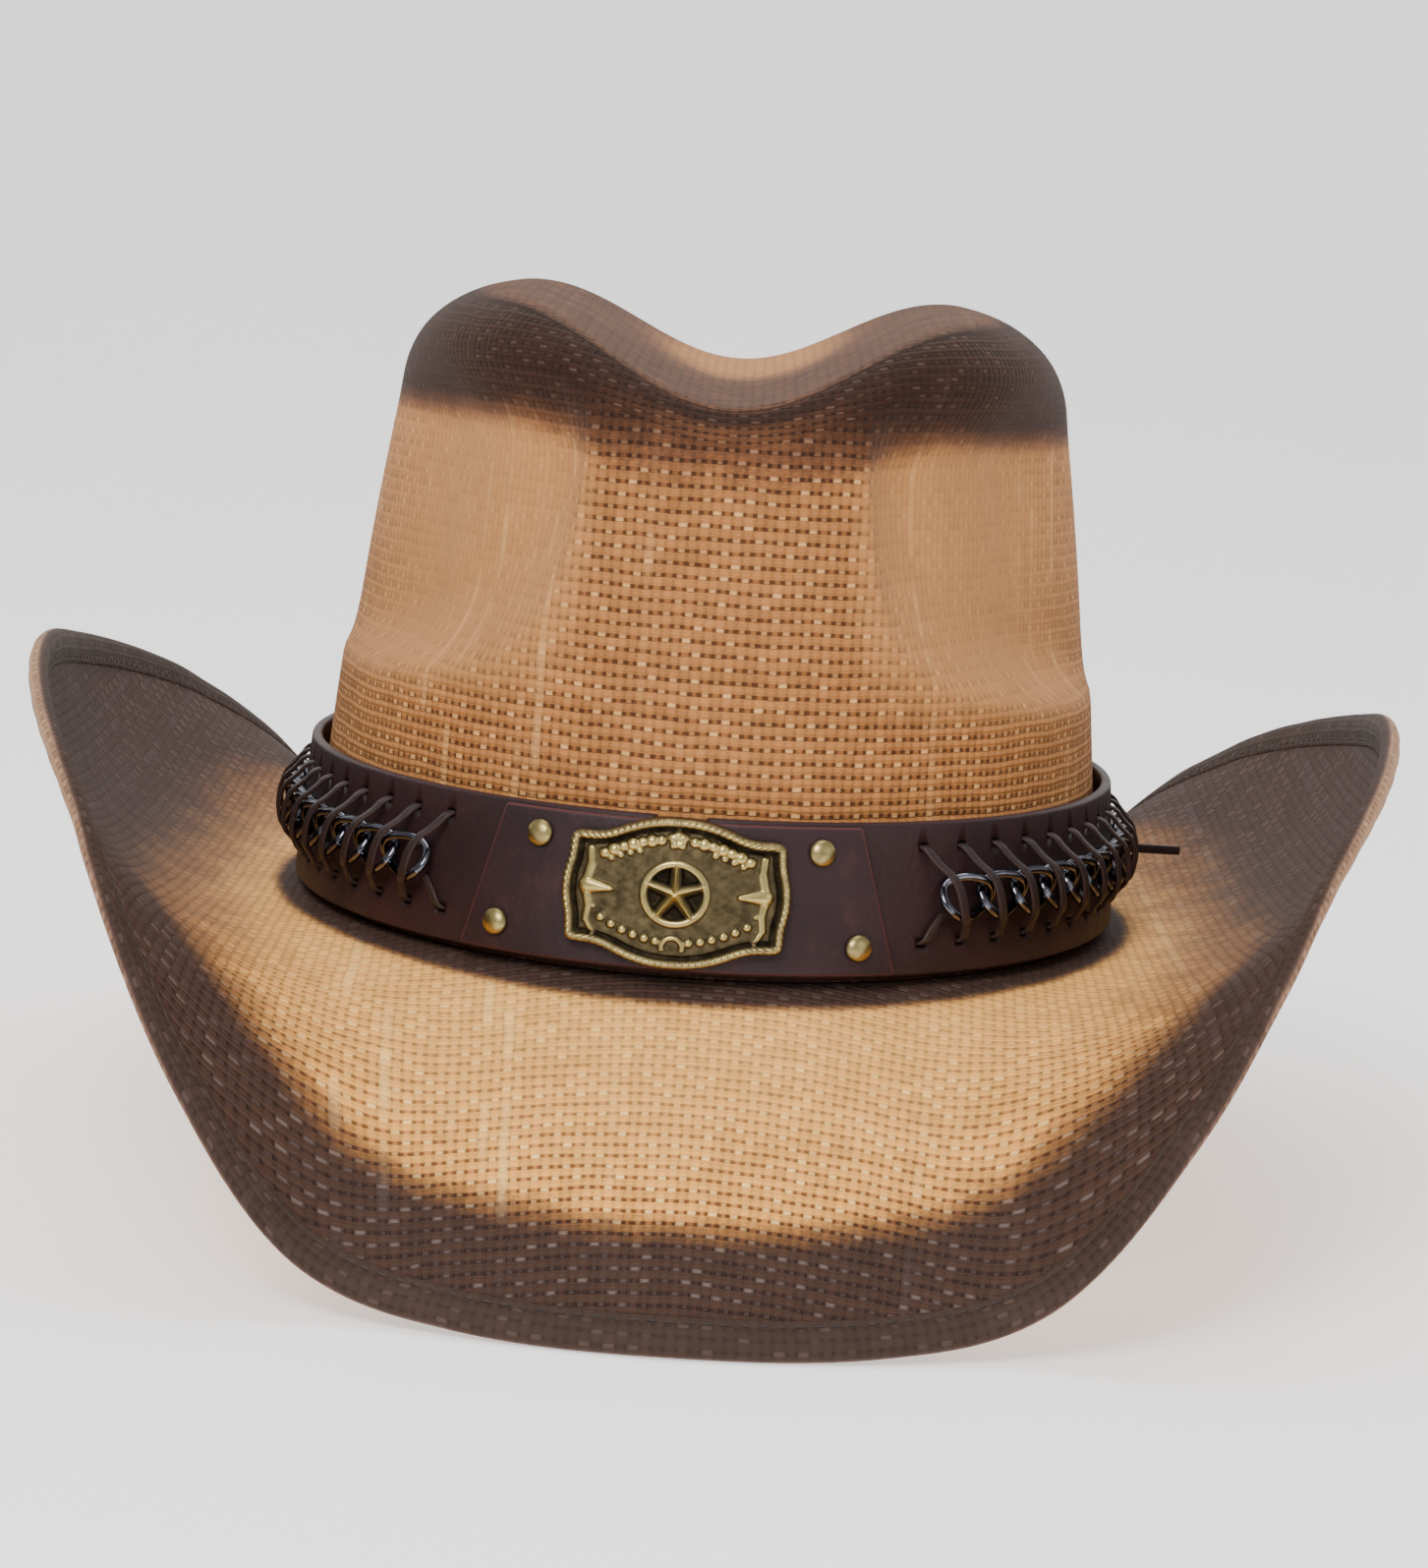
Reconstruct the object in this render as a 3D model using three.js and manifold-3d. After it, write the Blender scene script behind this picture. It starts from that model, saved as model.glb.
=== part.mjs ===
// A shapeable straw cowboy hat: a creased woven crown on a rolled woven brim, with a bound and wired
// brim edge, a sweatband, and a leather hatband that carries a front panel, a cast concho, rivets,
// and a curb chain laced on with a flat thong at each side.
// Millimetres, +Z up, the hat's front towards -Y. The finished hat stands on its front and back dips.
import * as THREE from 'three';
import { mergeVertices } from 'three/addons/utils/BufferGeometryUtils.js';
import Module from 'manifold-3d';

const wasm = await Module();
wasm.setup();

// ---------------------------------------------------------------- driving dimensions
const GAP = 0.3;                    // clearance kept between touching pieces

const CROWN_HALF_WIDTH = 85;        // outside of the crown where it meets the brim
const CROWN_HALF_LENGTH = 105;
const CROWN_HEIGHT = 128;           // junction to the crest, before the creases are pressed
const CROWN_THICKNESS = 1.2;
const SIDE_TAPER = 0.187;           // share of the half width lost over the crown height
const END_TAPER = 0.17;             // the same for the half length
const SIDE_BOW = 2.2;               // how far the side walls stand out at mid height
const SHOULDER_FRONT = 8;           // rounding of the crown's top edge
const SHOULDER_SIDE = 21;
const SHOULDER_BACK = 14;
const CREASE_DEPTH = 17.5;          // centre crease, measured below the two ridges
const RIDGE_SPACING = 49;           // centre line to each ridge
const RIDGE_CLIMB = 0.02;           // the ridges rise this much per millimetre towards the back
const RIDGE_START = -80;            // where that climb is zero, along Y
const PINCH_DEPTH = 13;             // the two front side dents
const PINCH_PANEL = 24;             // half width of the flat front panel that they leave
const PINCH_FLOOR = 46;             // height where the dents end at the bottom
const PINCH_EDGE = 15.5;            // how round the dents' lower front corner is
const PINCH_SPAN = 15;              // distance over which a dent reaches its depth
const PINCH_TOP = [98, 122];        // heights over which the dents fade below the ridge
const PINCH_SIDE = [60, 100];       // angles from the front over which they fade round the side

// The brim's shaping chart. Angle from the front, slope at the crown, slope at the edge (degrees,
// up is positive) and width along the cloth. The sides roll up; the front and the back dip alike.
const BRIM_CHART = [
  { angle: 0, base: -28, edge: -50, width: 87 },
  { angle: 14, base: -26.5, edge: -49.5, width: 87 },
  { angle: 23, base: -25, edge: -38, width: 87 },
  { angle: 30, base: -23, edge: 3, width: 87 },
  { angle: 37, base: -21, edge: 36, width: 87 },
  { angle: 46, base: -18, edge: 61, width: 86.5 },
  { angle: 60, base: -13, edge: 78, width: 86 },
  { angle: 76, base: -10, edge: 86, width: 85 },
  { angle: 90, base: -8, edge: 83, width: 83.5 },
  { angle: 105, base: -8, edge: 73, width: 83.5 },
  { angle: 120, base: -8, edge: 59, width: 84 },
  { angle: 132, base: -9, edge: 43, width: 85 },
  { angle: 144, base: -12, edge: 17, width: 86 },
  { angle: 156, base: -20, edge: -32, width: 87 },
  { angle: 167, base: -26, edge: -48, width: 87 },
  { angle: 180, base: -28, edge: -50, width: 87 },
];
const BRIM_THICKNESS = 1.4;
const BINDING_REACH = 5;            // how far the binding laps over the brim
const BINDING_THICKNESS = 0.9;
const BINDING_EASE = 0.5;           // clearance between the binding and the cloth in it
const WIRE_RADIUS = 0.7;
const SWEATBAND_THICKNESS = 1.2;
const SWEATBAND_TOP = 32;

const BAND_TURN = -4.5;             // the band sits turned this far round the crown, towards -X
const BAND_BOTTOM = 1.8;            // hatband strap, heights above the junction
const BAND_TOP = 31.8;
const STRAP_INNER = 1.8;            // distances outwards from the crown's wall
const STRAP_OUTER = 4.0;
const STRAP_END_GAP = 10;           // the strap's ends meet behind the front panel
const PANEL_TOP_HALF = 36;          // front panel, half lengths along the band
const PANEL_BOTTOM_HALF = 44;
const PANEL_THICKNESS = 1.6;
const RIVET_RADIUS = 2.7;
const RIVET_SHANK = 1.0;
const RIVETS = {
  rivet_upper_left: [-27.5, 26.4], rivet_upper_right: [27.5, 26.4],
  rivet_lower_left: [-35.6, 8], rivet_lower_right: [35.6, 8],
};
const CONCHO_HALF_WIDTH = 21.5;
const CONCHO_HALF_HEIGHT = 14.6;
const CONCHO_CENTRE = 17.5;         // height above the junction
const CONCHO_FLOOR = 1.6;           // thickness of the plate and of its raised rim
const CONCHO_RIM = 2.9;
const CONCHO_RIM_WIDTH = 2.4;
const SCREW_RADIUS = 1.5;

const LACE_START = 51;              // first pair of lace holes, along the band from the front
const LACE_PITCH = 10;
const STITCHES = 14;                // on each side
const LACE_LOW = 8;
const LACE_HIGH = 27;
const LACE_WIDTH = 2.0;
const LACE_THICKNESS = 0.8;
const LACE_BEHIND = 0.9;            // centre of the thong behind the strap
const LACE_OVER = 9.5;              // centre of the thong over the chain
const HOLE_WIDTH = 2.7;
const HOLE_HEIGHT = 1.7;
const TAIL_STEP = 6;                // the tail's hole, past the last pair
const TAIL_LENGTH = 15;
const CHAIN_CENTRE = 17;            // height above the junction
const LINK_LENGTH = 14;
const LINK_HEIGHT = 10;
const LINK_WIRE = 0.9;              // radius
const LINK_TWIST = 1.25;            // how far a link's corners stand out of its plane
const LINK_OFFSET = 9.5;            // first link's centre, past the first pair of holes
const CHAIN_LIFT = STRAP_OUTER + GAP + LINK_TWIST + LINK_WIRE;

const RING_STEPS = 72;              // facets round the crown, brim and sweatband

const COLOURS = {
  straw: { color: 0xb58a62, roughness: 0.85, metalness: 0 },
  binding: { color: 0x6b5a52, roughness: 0.8, metalness: 0 },
  steel: { color: 0x9a9a9c, roughness: 0.35, metalness: 1 },
  sweatband: { color: 0x2a2422, roughness: 0.7, metalness: 0 },
  leather: { color: 0x38242a, roughness: 0.55, metalness: 0 },
  thong: { color: 0x2a1b1c, roughness: 0.6, metalness: 0 },
  brass: { color: 0x968250, roughness: 0.4, metalness: 1 },
  gunmetal: { color: 0x1c1c1e, roughness: 0.25, metalness: 1 },
};

// ---------------------------------------------------------------- helpers
const radians = THREE.MathUtils.degToRad;
const mix = THREE.MathUtils.lerp;
const smooth = (low, high, value) => THREE.MathUtils.smoothstep(value, low, high);
const clamp = THREE.MathUtils.clamp;

const range = (count, first = 0, last = 1) =>
  Array.from({ length: count }, (_, i) => mix(first, last, i / (count - 1)));

// Ring stations straddle the front and back centre lines, so a flat facet lies across each of them.
const ringAngles = Array.from({ length: RING_STEPS }, (_, i) => ((i + 0.5) / RING_STEPS) * 2 * Math.PI);

function solidGeometry(points, faces) {
  const geometry = new THREE.BufferGeometry();
  geometry.setAttribute('position', new THREE.Float32BufferAttribute(points.flat(), 3));
  geometry.setIndex(faces.flat());
  return facingOut(geometry);
}

function facingOut(geometry) {
  const at = geometry.getAttribute('position');
  const index = geometry.getIndex().array;
  const corner = [0, 1, 2].map(() => new THREE.Vector3());
  let volume = 0;
  for (let i = 0; i < index.length; i += 3) {
    corner.forEach((point, j) => point.fromBufferAttribute(at, index[i + j]));
    volume += corner[0].dot(corner[1].clone().cross(corner[2]));
  }
  if (volume < 0) {
    for (let i = 0; i < index.length; i += 3) {
      [index[i], index[i + 1]] = [index[i + 1], index[i]];
    }
  }
  return geometry;
}

const distance = (a, b) => Math.hypot(a[0] - b[0], a[1] - b[1], a[2] - b[2]);

// Rows of points joined into a closed solid. Each row is a closed loop; the rows either close on
// themselves, or end in a flat fan at each end. Each panel is split along its shorter diagonal, so
// that pieces lying on each other are split alike.
function loft(rows, closed) {
  const width = rows[0].length;
  const points = rows.flat();
  const faces = [];
  const rowCount = closed ? rows.length : rows.length - 1;
  for (let i = 0; i < rowCount; i += 1) {
    const here = i * width;
    const next = ((i + 1) % rows.length) * width;
    for (let j = 0; j < width; j += 1) {
      const k = (j + 1) % width;
      const [a, b, c, d] = [here + j, next + j, next + k, here + k];
      if (distance(points[a], points[c]) < distance(points[b], points[d]) - 1e-6) {
        faces.push([a, b, c], [a, c, d]);
      } else {
        faces.push([a, b, d], [b, c, d]);
      }
    }
  }
  if (!closed) {
    for (const [start, flip] of [[0, false], [(rows.length - 1) * width, true]]) {
      const centre = points.length;
      const end = points.slice(start, start + width);
      points.push([0, 1, 2].map((axis) => end.reduce((sum, p) => sum + p[axis], 0) / width));
      for (let j = 0; j < width; j += 1) {
        const pair = [start + j, start + ((j + 1) % width)];
        if (flip) pair.reverse();
        faces.push([centre, ...pair]);
      }
    }
  }
  return solidGeometry(points, faces);
}

function toManifold(geometry) {
  const bare = geometry.clone();
  bare.deleteAttribute('normal');
  bare.deleteAttribute('uv');
  const merged = mergeVertices(bare, 1e-4);
  return new wasm.Manifold(new wasm.Mesh({
    numProp: 3,
    vertProperties: new Float32Array(merged.getAttribute('position').array),
    triVerts: new Uint32Array(merged.getIndex().array),
  }));
}

function fromManifold(manifold) {
  const mesh = manifold.getMesh();
  const geometry = new THREE.BufferGeometry();
  geometry.setAttribute('position', new THREE.BufferAttribute(new Float32Array(mesh.vertProperties), 3));
  geometry.setIndex(new THREE.BufferAttribute(new Uint32Array(mesh.triVerts), 1));
  return geometry;
}

function box(size, centre) {
  return new THREE.BoxGeometry(...size).translate(...centre);
}

// A cylinder standing along Z from one height to another.
function post(radius, [x, y], [low, high], sides) {
  const cylinder = new THREE.CylinderGeometry(radius, radius, high - low, sides);
  return cylinder.rotateX(Math.PI / 2).translate(x, y, (low + high) / 2);
}

// Piecewise cubic through a chart column, level at the front and back centre lines.
function chartValue(angle, column) {
  const last = BRIM_CHART.length - 1;
  const next = clamp(BRIM_CHART.findIndex((row) => row.angle > angle), 1, last);
  const i = angle >= BRIM_CHART[last].angle ? last - 1 : next - 1;
  const slope = (k) => (k === 0 || k === last ? 0
    : (BRIM_CHART[k + 1][column] - BRIM_CHART[k - 1][column])
      / (BRIM_CHART[k + 1].angle - BRIM_CHART[k - 1].angle));
  const step = BRIM_CHART[i + 1].angle - BRIM_CHART[i].angle;
  const t = (angle - BRIM_CHART[i].angle) / step;
  return (2 * t ** 3 - 3 * t ** 2 + 1) * BRIM_CHART[i][column]
    + (t ** 3 - 2 * t ** 2 + t) * step * slope(i)
    + (3 * t ** 2 - 2 * t ** 3) * BRIM_CHART[i + 1][column]
    + (t ** 3 - t ** 2) * step * slope(i + 1);
}

const angleFromFront = (theta) => {
  const degrees = THREE.MathUtils.radToDeg(theta) % 360;
  return degrees > 180 ? 360 - degrees : degrees;
};

// ---------------------------------------------------------------- crown
function wallHalfSizes(height) {
  const share = clamp(height / CROWN_HEIGHT, 0, 1);
  return [
    CROWN_HALF_WIDTH * (1 - SIDE_TAPER * share) + SIDE_BOW * Math.sin(Math.PI * share),
    CROWN_HALF_LENGTH * (1 - END_TAPER * share),
  ];
}

function pinchDepth(across, height, theta) {
  const reach = Math.sqrt(Math.max(across - PINCH_PANEL, 0) * Math.max(height - PINCH_FLOOR, 0));
  const ramp = Math.sin((Math.PI / 2) * clamp((reach - PINCH_EDGE) / PINCH_SPAN, 0, 1));
  return PINCH_DEPTH * ramp * (1 - smooth(...PINCH_TOP, height))
    * (1 - smooth(...PINCH_SIDE, angleFromFront(theta)));
}

// Point of the crown at an angle from the front. The station runs 0 to 1 up the wall, 1 to 2 round
// the shoulder and 2 to 3 in to the middle of the top. Inset moves it into the cloth.
function crownPoint(theta, station, inset) {
  const side = Math.sin(theta) ** 2;
  const endShoulder = mix(SHOULDER_FRONT, SHOULDER_BACK, smooth(0, 1, -Math.cos(theta)));
  const shoulder = mix(endShoulder, SHOULDER_SIDE, side) - inset;
  const top = CROWN_HEIGHT - inset;
  const turn = clamp(station - 1, 0, 1) * (Math.PI / 2);
  const height = station < 1 ? mix(GAP, top - shoulder, station)
    : top - shoulder + shoulder * Math.sin(turn);
  const [halfWidth, halfLength] = wallHalfSizes(height);
  const inwards = inset + shoulder * (1 - Math.cos(turn));
  const shrink = 1 - clamp(station - 2, 0, 1);
  let x = (halfWidth - inwards) * shrink * Math.sin(theta);
  let y = -(halfLength - inwards) * shrink * Math.cos(theta);
  const pinch = 1 - pinchDepth(Math.abs(x), height, theta) / Math.max(Math.hypot(x, y), 1);
  x *= pinch;
  y *= pinch;
  const rise = smooth(0.25, 1, height / CROWN_HEIGHT);
  const crease = Math.cos((Math.PI / 2) * clamp(Math.abs(x) / RIDGE_SPACING, 0, 1)) ** 2;
  return [x, y, height - rise * (CREASE_DEPTH * crease - RIDGE_CLIMB * (y - RIDGE_START))];
}

function crown() {
  const outside = [0, 0.28, 0.38, 0.5, 0.62, 0.75, 0.88, 1, 1.33, 1.67, 2, 2.3, 2.6, 2.85];
  const inside = [0, 0.38, 0.55, 0.75, 1, 1.5, 2, 2.35, 2.7];
  const ring = (station, inset) => ringAngles.map((theta) => crownPoint(theta, station, inset));
  return loft([
    ...outside.toReversed().map((station) => ring(station, 0)),
    ...inside.map((station) => ring(station, CROWN_THICKNESS)),
  ], false);
}

// ---------------------------------------------------------------- brim
// Frame of the brim's upper face at a share of its width: the point, and the directions along the
// cloth and out of its upper face.
function brimFrame(theta, share) {
  const angle = angleFromFront(theta);
  const base = radians(chartValue(angle, 'base'));
  const turn = radians(chartValue(angle, 'edge')) - base;
  const width = chartValue(angle, 'width');
  const slope = base + turn * share;
  const bend = Math.abs(turn) < 1e-3 ? 1e-3 : turn;
  const run = (width / bend) * (Math.sin(base + bend * share) - Math.sin(base));
  const rise = (width / bend) * (Math.cos(base) - Math.cos(base + bend * share));
  const out = new THREE.Vector3(Math.sin(theta) / CROWN_HALF_WIDTH, -Math.cos(theta) / CROWN_HALF_LENGTH, 0)
    .normalize();
  const up = new THREE.Vector3(0, 0, 1);
  const point = new THREE.Vector3(
    CROWN_HALF_WIDTH * Math.sin(theta), -CROWN_HALF_LENGTH * Math.cos(theta), rise,
  ).addScaledVector(out, run);
  return {
    point,
    along: out.clone().multiplyScalar(Math.cos(slope)).addScaledVector(up, Math.sin(slope)),
    normal: out.clone().multiplyScalar(-Math.sin(slope)).addScaledVector(up, Math.cos(slope)),
    out,
  };
}

// Point at a distance past the brim's edge, or before it if negative, and above its upper face.
function edgePoint(theta, past, above) {
  const width = chartValue(angleFromFront(theta), 'width');
  const frame = brimFrame(theta, 1 + Math.min(past, 0) / width);
  return frame.point.addScaledVector(frame.along, Math.max(past, 0))
    .addScaledVector(frame.normal, above).toArray();
}

// The brim runs in under the foot of the crown, level, as far as the crown's inner face.
function brim() {
  const shares = [0, 0.16, 0.32, 0.48, 0.64, 0.8];
  const face = (theta, above) => [
    ...shares.map((share) => {
      const { point, normal } = brimFrame(theta, share);
      return point.addScaledVector(normal, above).toArray();
    }),
    edgePoint(theta, -BINDING_REACH, above),
    edgePoint(theta, 0, above),
  ];
  const flange = (theta, height) => {
    const { point, out } = brimFrame(theta, 0);
    return point.addScaledVector(out, -CROWN_THICKNESS).setZ(height).toArray();
  };
  return loft(ringAngles.map((theta) => [
    flange(theta, 0),
    ...face(theta, 0),
    ...face(theta, -BRIM_THICKNESS).toReversed(),
    flange(theta, -BRIM_THICKNESS),
  ]), true);
}

// The binding's section, along and across the cloth from the brim's edge. Its lower outer corner is
// cut level at the front and back centre lines, where the hat stands on it.
function brimBinding() {
  const middle = -BRIM_THICKNESS / 2;
  const inner = BRIM_THICKNESS / 2 + BINDING_EASE;
  const outer = inner + BINDING_THICKNESS;
  const end = 2 * WIRE_RADIUS + 2 * GAP;
  const bevel = 1.5;
  const level = radians(50);
  const shoulder = end + BINDING_THICKNESS - bevel * Math.cos(level);
  const nose = shoulder + bevel * Math.cos(level);
  const noseHeight = outer - bevel * Math.sin(level);
  const section = [
    [-BINDING_REACH, outer], [shoulder, outer], [nose, noseHeight],
    [nose, -noseHeight], [shoulder, -outer], [-BINDING_REACH, -outer],
    [-BINDING_REACH, -inner], [end, -inner], [end, inner], [-BINDING_REACH, inner],
  ];
  return loft(ringAngles.map((theta) => section.map(
    ([past, above]) => edgePoint(theta, past, above + middle),
  )), true);
}

function brimWire() {
  const sides = 5;
  const section = Array.from({ length: sides }, (_, i) => (i / sides) * 2 * Math.PI);
  return loft(ringAngles.map((theta) => section.map((turn) => edgePoint(
    theta,
    GAP + WIRE_RADIUS * (1 + Math.cos(turn)),
    WIRE_RADIUS * Math.sin(turn) - BRIM_THICKNESS / 2,
  ))), true);
}

function sweatband() {
  const outer = CROWN_THICKNESS + GAP;
  const inner = outer + SWEATBAND_THICKNESS;
  const corner = (theta, inset, height) => {
    const [halfWidth, halfLength] = wallHalfSizes(height);
    return [(halfWidth - inset) * Math.sin(theta), -(halfLength - inset) * Math.cos(theta), height];
  };
  return loft(ringAngles.map((theta) => [
    corner(theta, outer, -BRIM_THICKNESS), corner(theta, outer, SWEATBAND_TOP),
    corner(theta, inner, SWEATBAND_TOP), corner(theta, inner, -BRIM_THICKNESS),
  ]), true);
}

// ---------------------------------------------------------------- hatband
// The band's pieces are drawn flat, as (along the band, height, distance outwards from the crown's
// wall), and then wrapped round the crown. Lengths are true at mid height in the strap.
const [lapWidth, lapLength] = wallHalfSizes((BAND_BOTTOM + BAND_TOP) / 2).map((half) => half + STRAP_OUTER);
const LAP_STEPS = 720;
const lapLengths = [0];
for (let i = 0; i < LAP_STEPS; i += 1) {
  const theta = ((i + 0.5) / LAP_STEPS) * 2 * Math.PI;
  const step = (2 * Math.PI) / LAP_STEPS;
  lapLengths.push(lapLengths[i] + step * Math.hypot(lapWidth * Math.cos(theta), lapLength * Math.sin(theta)));
}
const LAP = lapLengths[LAP_STEPS];

function lapAngle(along) {
  const distance = (((along + BAND_TURN) % LAP) + LAP) % LAP;
  const i = clamp(lapLengths.findIndex((length) => length > distance), 1, LAP_STEPS);
  const share = (distance - lapLengths[i - 1]) / (lapLengths[i] - lapLengths[i - 1]);
  return ((i - 1 + share) / LAP_STEPS) * 2 * Math.PI;
}

function wrapPoint([along, height, outwards]) {
  const theta = lapAngle(along);
  const [halfWidth, halfLength] = wallHalfSizes(height);
  const out = new THREE.Vector2(Math.sin(theta) / halfWidth, -Math.cos(theta) / halfLength).normalize();
  return [
    halfWidth * Math.sin(theta) + out.x * outwards,
    -halfLength * Math.cos(theta) + out.y * outwards,
    height,
  ];
}

function wrap(geometry) {
  const at = geometry.getAttribute('position');
  for (let i = 0; i < at.count; i += 1) {
    at.setXYZ(i, ...wrapPoint([at.getX(i), at.getY(i), at.getZ(i)]));
  }
  return facingOut(geometry);
}

function strip(stations, halfHeightAt, low, high) {
  return loft(stations.map((along) => {
    const [bottom, top] = halfHeightAt(along);
    return [[along, bottom, low], [along, top, low], [along, top, high], [along, bottom, high]];
  }), false);
}

const laceHoles = (side) => Array.from({ length: STITCHES + 1 }, (_, i) => side * (LACE_START + i * LACE_PITCH));

function strap() {
  const stations = range(86, STRAP_END_GAP / 2, LAP - STRAP_END_GAP / 2);
  let solid = toManifold(strip(stations, () => [BAND_BOTTOM, BAND_TOP], STRAP_INNER, STRAP_OUTER));
  const cut = (geometry) => {
    solid = solid.subtract(toManifold(geometry));
  };
  const hole = [HOLE_WIDTH, HOLE_HEIGHT, 2 * STRAP_OUTER];
  for (const along of laceHoles(1)) {
    for (const place of [along, LAP - along]) {
      cut(box(hole, [place, LACE_LOW, STRAP_OUTER]));
      cut(box(hole, [place, LACE_HIGH, STRAP_OUTER]));
    }
  }
  cut(box(hole, [LACE_START + STITCHES * LACE_PITCH + TAIL_STEP, LACE_LOW + 2, STRAP_OUTER]));
  for (const [along, height] of Object.values(RIVETS)) {
    cut(post(RIVET_SHANK + GAP, [(along + LAP) % LAP, height], [0, 2 * STRAP_OUTER], 8));
  }
  return wrap(fromManifold(solid));
}

const PANEL_INNER = STRAP_OUTER + GAP;
const PANEL_OUTER = PANEL_INNER + PANEL_THICKNESS;

function frontPanel() {
  const shares = range(17, -1, 1);
  const margin = 0.6;
  const end = (share, height) => share * mix(PANEL_BOTTOM_HALF, PANEL_TOP_HALF, height);
  const flat = loft(shares.map((share) => [
    [end(share, 0), BAND_BOTTOM + margin, PANEL_INNER], [end(share, 1), BAND_TOP - margin, PANEL_INNER],
    [end(share, 1), BAND_TOP - margin, PANEL_OUTER], [end(share, 0), BAND_BOTTOM + margin, PANEL_OUTER],
  ]), false);
  let solid = toManifold(flat);
  for (const place of Object.values(RIVETS)) {
    solid = solid.subtract(toManifold(post(RIVET_SHANK + GAP, place, [0, 2 * PANEL_OUTER], 8)));
  }
  solid = solid.subtract(toManifold(
    post(SCREW_RADIUS + GAP, [0, CONCHO_CENTRE], [0, 2 * PANEL_OUTER], 10),
  ));
  return wrap(fromManifold(solid));
}

function rivet([along, height]) {
  const head = PANEL_OUTER + GAP;
  const dome = [[0, STRAP_INNER], [RIVET_SHANK, STRAP_INNER], [RIVET_SHANK, head], [RIVET_RADIUS, head],
    [RIVET_RADIUS * 0.9, head + 0.9], [RIVET_RADIUS * 0.55, head + 1.6], [0, head + 1.8]];
  const lathe = new THREE.LatheGeometry(dome.map(([r, h]) => new THREE.Vector2(r, h)), 10);
  return wrap(fromManifold(toManifold(lathe.rotateX(Math.PI / 2).translate(along, height, 0))));
}

// Half height of the concho's outline: bowed long edges, ogee shoulders and barbed corners.
function conchoHalfHeight(along) {
  const share = Math.abs(along) / CONCHO_HALF_WIDTH;
  const bow = 1 - 0.1 * smooth(0, 0.55, share);
  const barb = 0.09 * Math.exp(-(((share - 0.8) / 0.12) ** 2));
  return CONCHO_HALF_HEIGHT * (bow + barb - 0.16 * smooth(0.82, 1, share));
}

function concho() {
  const back = PANEL_OUTER + GAP;
  const floor = back + CONCHO_FLOOR;
  const rim = back + CONCHO_RIM;
  const ends = [-1, -0.97, -0.89, -0.82, -0.74];
  const shares = [...ends, ...range(9, -0.6, 0.6), ...ends.map((share) => -share).toReversed()];
  const isRecessed = (share) => Math.abs(share) * CONCHO_HALF_WIDTH < CONCHO_HALF_WIDTH - CONCHO_RIM_WIDTH;
  const plate = loft(shares.map((share) => {
    const along = share * CONCHO_HALF_WIDTH;
    const half = conchoHalfHeight(along);
    const inside = half - CONCHO_RIM_WIDTH;
    const low = isRecessed(share) ? floor : rim;
    return [[half, back], [half, rim - 0.6], [half - 0.7, rim], [inside + 0.5, rim], [inside, low],
      [-inside, low], [-inside - 0.5, rim], [-half + 0.7, rim], [-half, rim - 0.6], [-half, back]]
      .map(([up, out]) => [along, CONCHO_CENTRE + up, out]);
  }), false);
  const star = new THREE.Shape();
  for (let i = 0; i < 10; i += 1) {
    const radius = i % 2 ? 2.3 : 5.4;
    const turn = (i / 10) * 2 * Math.PI;
    star[i ? 'lineTo' : 'moveTo'](radius * Math.sin(turn), radius * Math.cos(turn));
  }
  const relief = new THREE.ExtrudeGeometry(star, { depth: 1.4, bevelEnabled: false });
  relief.translate(0, CONCHO_CENTRE, floor - 0.4);
  const solid = toManifold(plate).add(toManifold(relief)).subtract(toManifold(
    post(SCREW_RADIUS + GAP, [0, CONCHO_CENTRE], [0, floor - 0.5], 10),
  ));
  return wrap(fromManifold(solid));
}

function conchoScrew() {
  const seat = PANEL_INNER - GAP;
  const head = 3.8;
  const tip = PANEL_OUTER + GAP + CONCHO_FLOOR - 1;
  const profile = [[0, seat - 1], [head, seat - 1], [head, seat], [SCREW_RADIUS, seat], [SCREW_RADIUS, tip],
    [0, tip]];
  const lathe = new THREE.LatheGeometry(profile.map(([r, h]) => new THREE.Vector2(r, h)), 10);
  return wrap(fromManifold(toManifold(lathe.rotateX(Math.PI / 2).translate(0, CONCHO_CENTRE, 0))));
}

// ---------------------------------------------------------------- chain and lacing
// A curb link: an oval of round wire whose four corners stand in and out of its plane by turns, so
// that each link passes over one strand of the next and under the other.
function chainLink(side, number) {
  const steps = 12;
  const sides = 5;
  const centre = side * (LACE_START + LINK_OFFSET + number * LACE_PITCH);
  const halfLength = LINK_LENGTH / 2 - LINK_WIRE;
  const halfHeight = LINK_HEIGHT / 2 - LINK_WIRE;
  const oval = (turn) => new THREE.Vector3(
    halfLength * Math.cos(turn), halfHeight * Math.sin(turn), LINK_TWIST * Math.sin(2 * turn),
  );
  const rows = Array.from({ length: steps }, (_, i) => {
    const turn = ((i + 0.5) / steps) * 2 * Math.PI;
    const middle = oval(turn);
    const ahead = oval(turn + 0.01).sub(middle).normalize();
    const inwards = new THREE.Vector3(-middle.x, -middle.y, 0).normalize();
    const face = new THREE.Vector3().crossVectors(ahead, inwards).normalize();
    inwards.crossVectors(face, ahead);
    return Array.from({ length: sides }, (__, j) => {
      const spin = (j / sides) * 2 * Math.PI;
      const point = middle.clone()
        .addScaledVector(inwards, LINK_WIRE * Math.cos(spin))
        .addScaledVector(face, LINK_WIRE * Math.sin(spin));
      return [centre + side * point.x, CHAIN_CENTRE + point.y, CHAIN_LIFT + point.z];
    });
  });
  return wrap(loft(rows, true));
}

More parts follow.
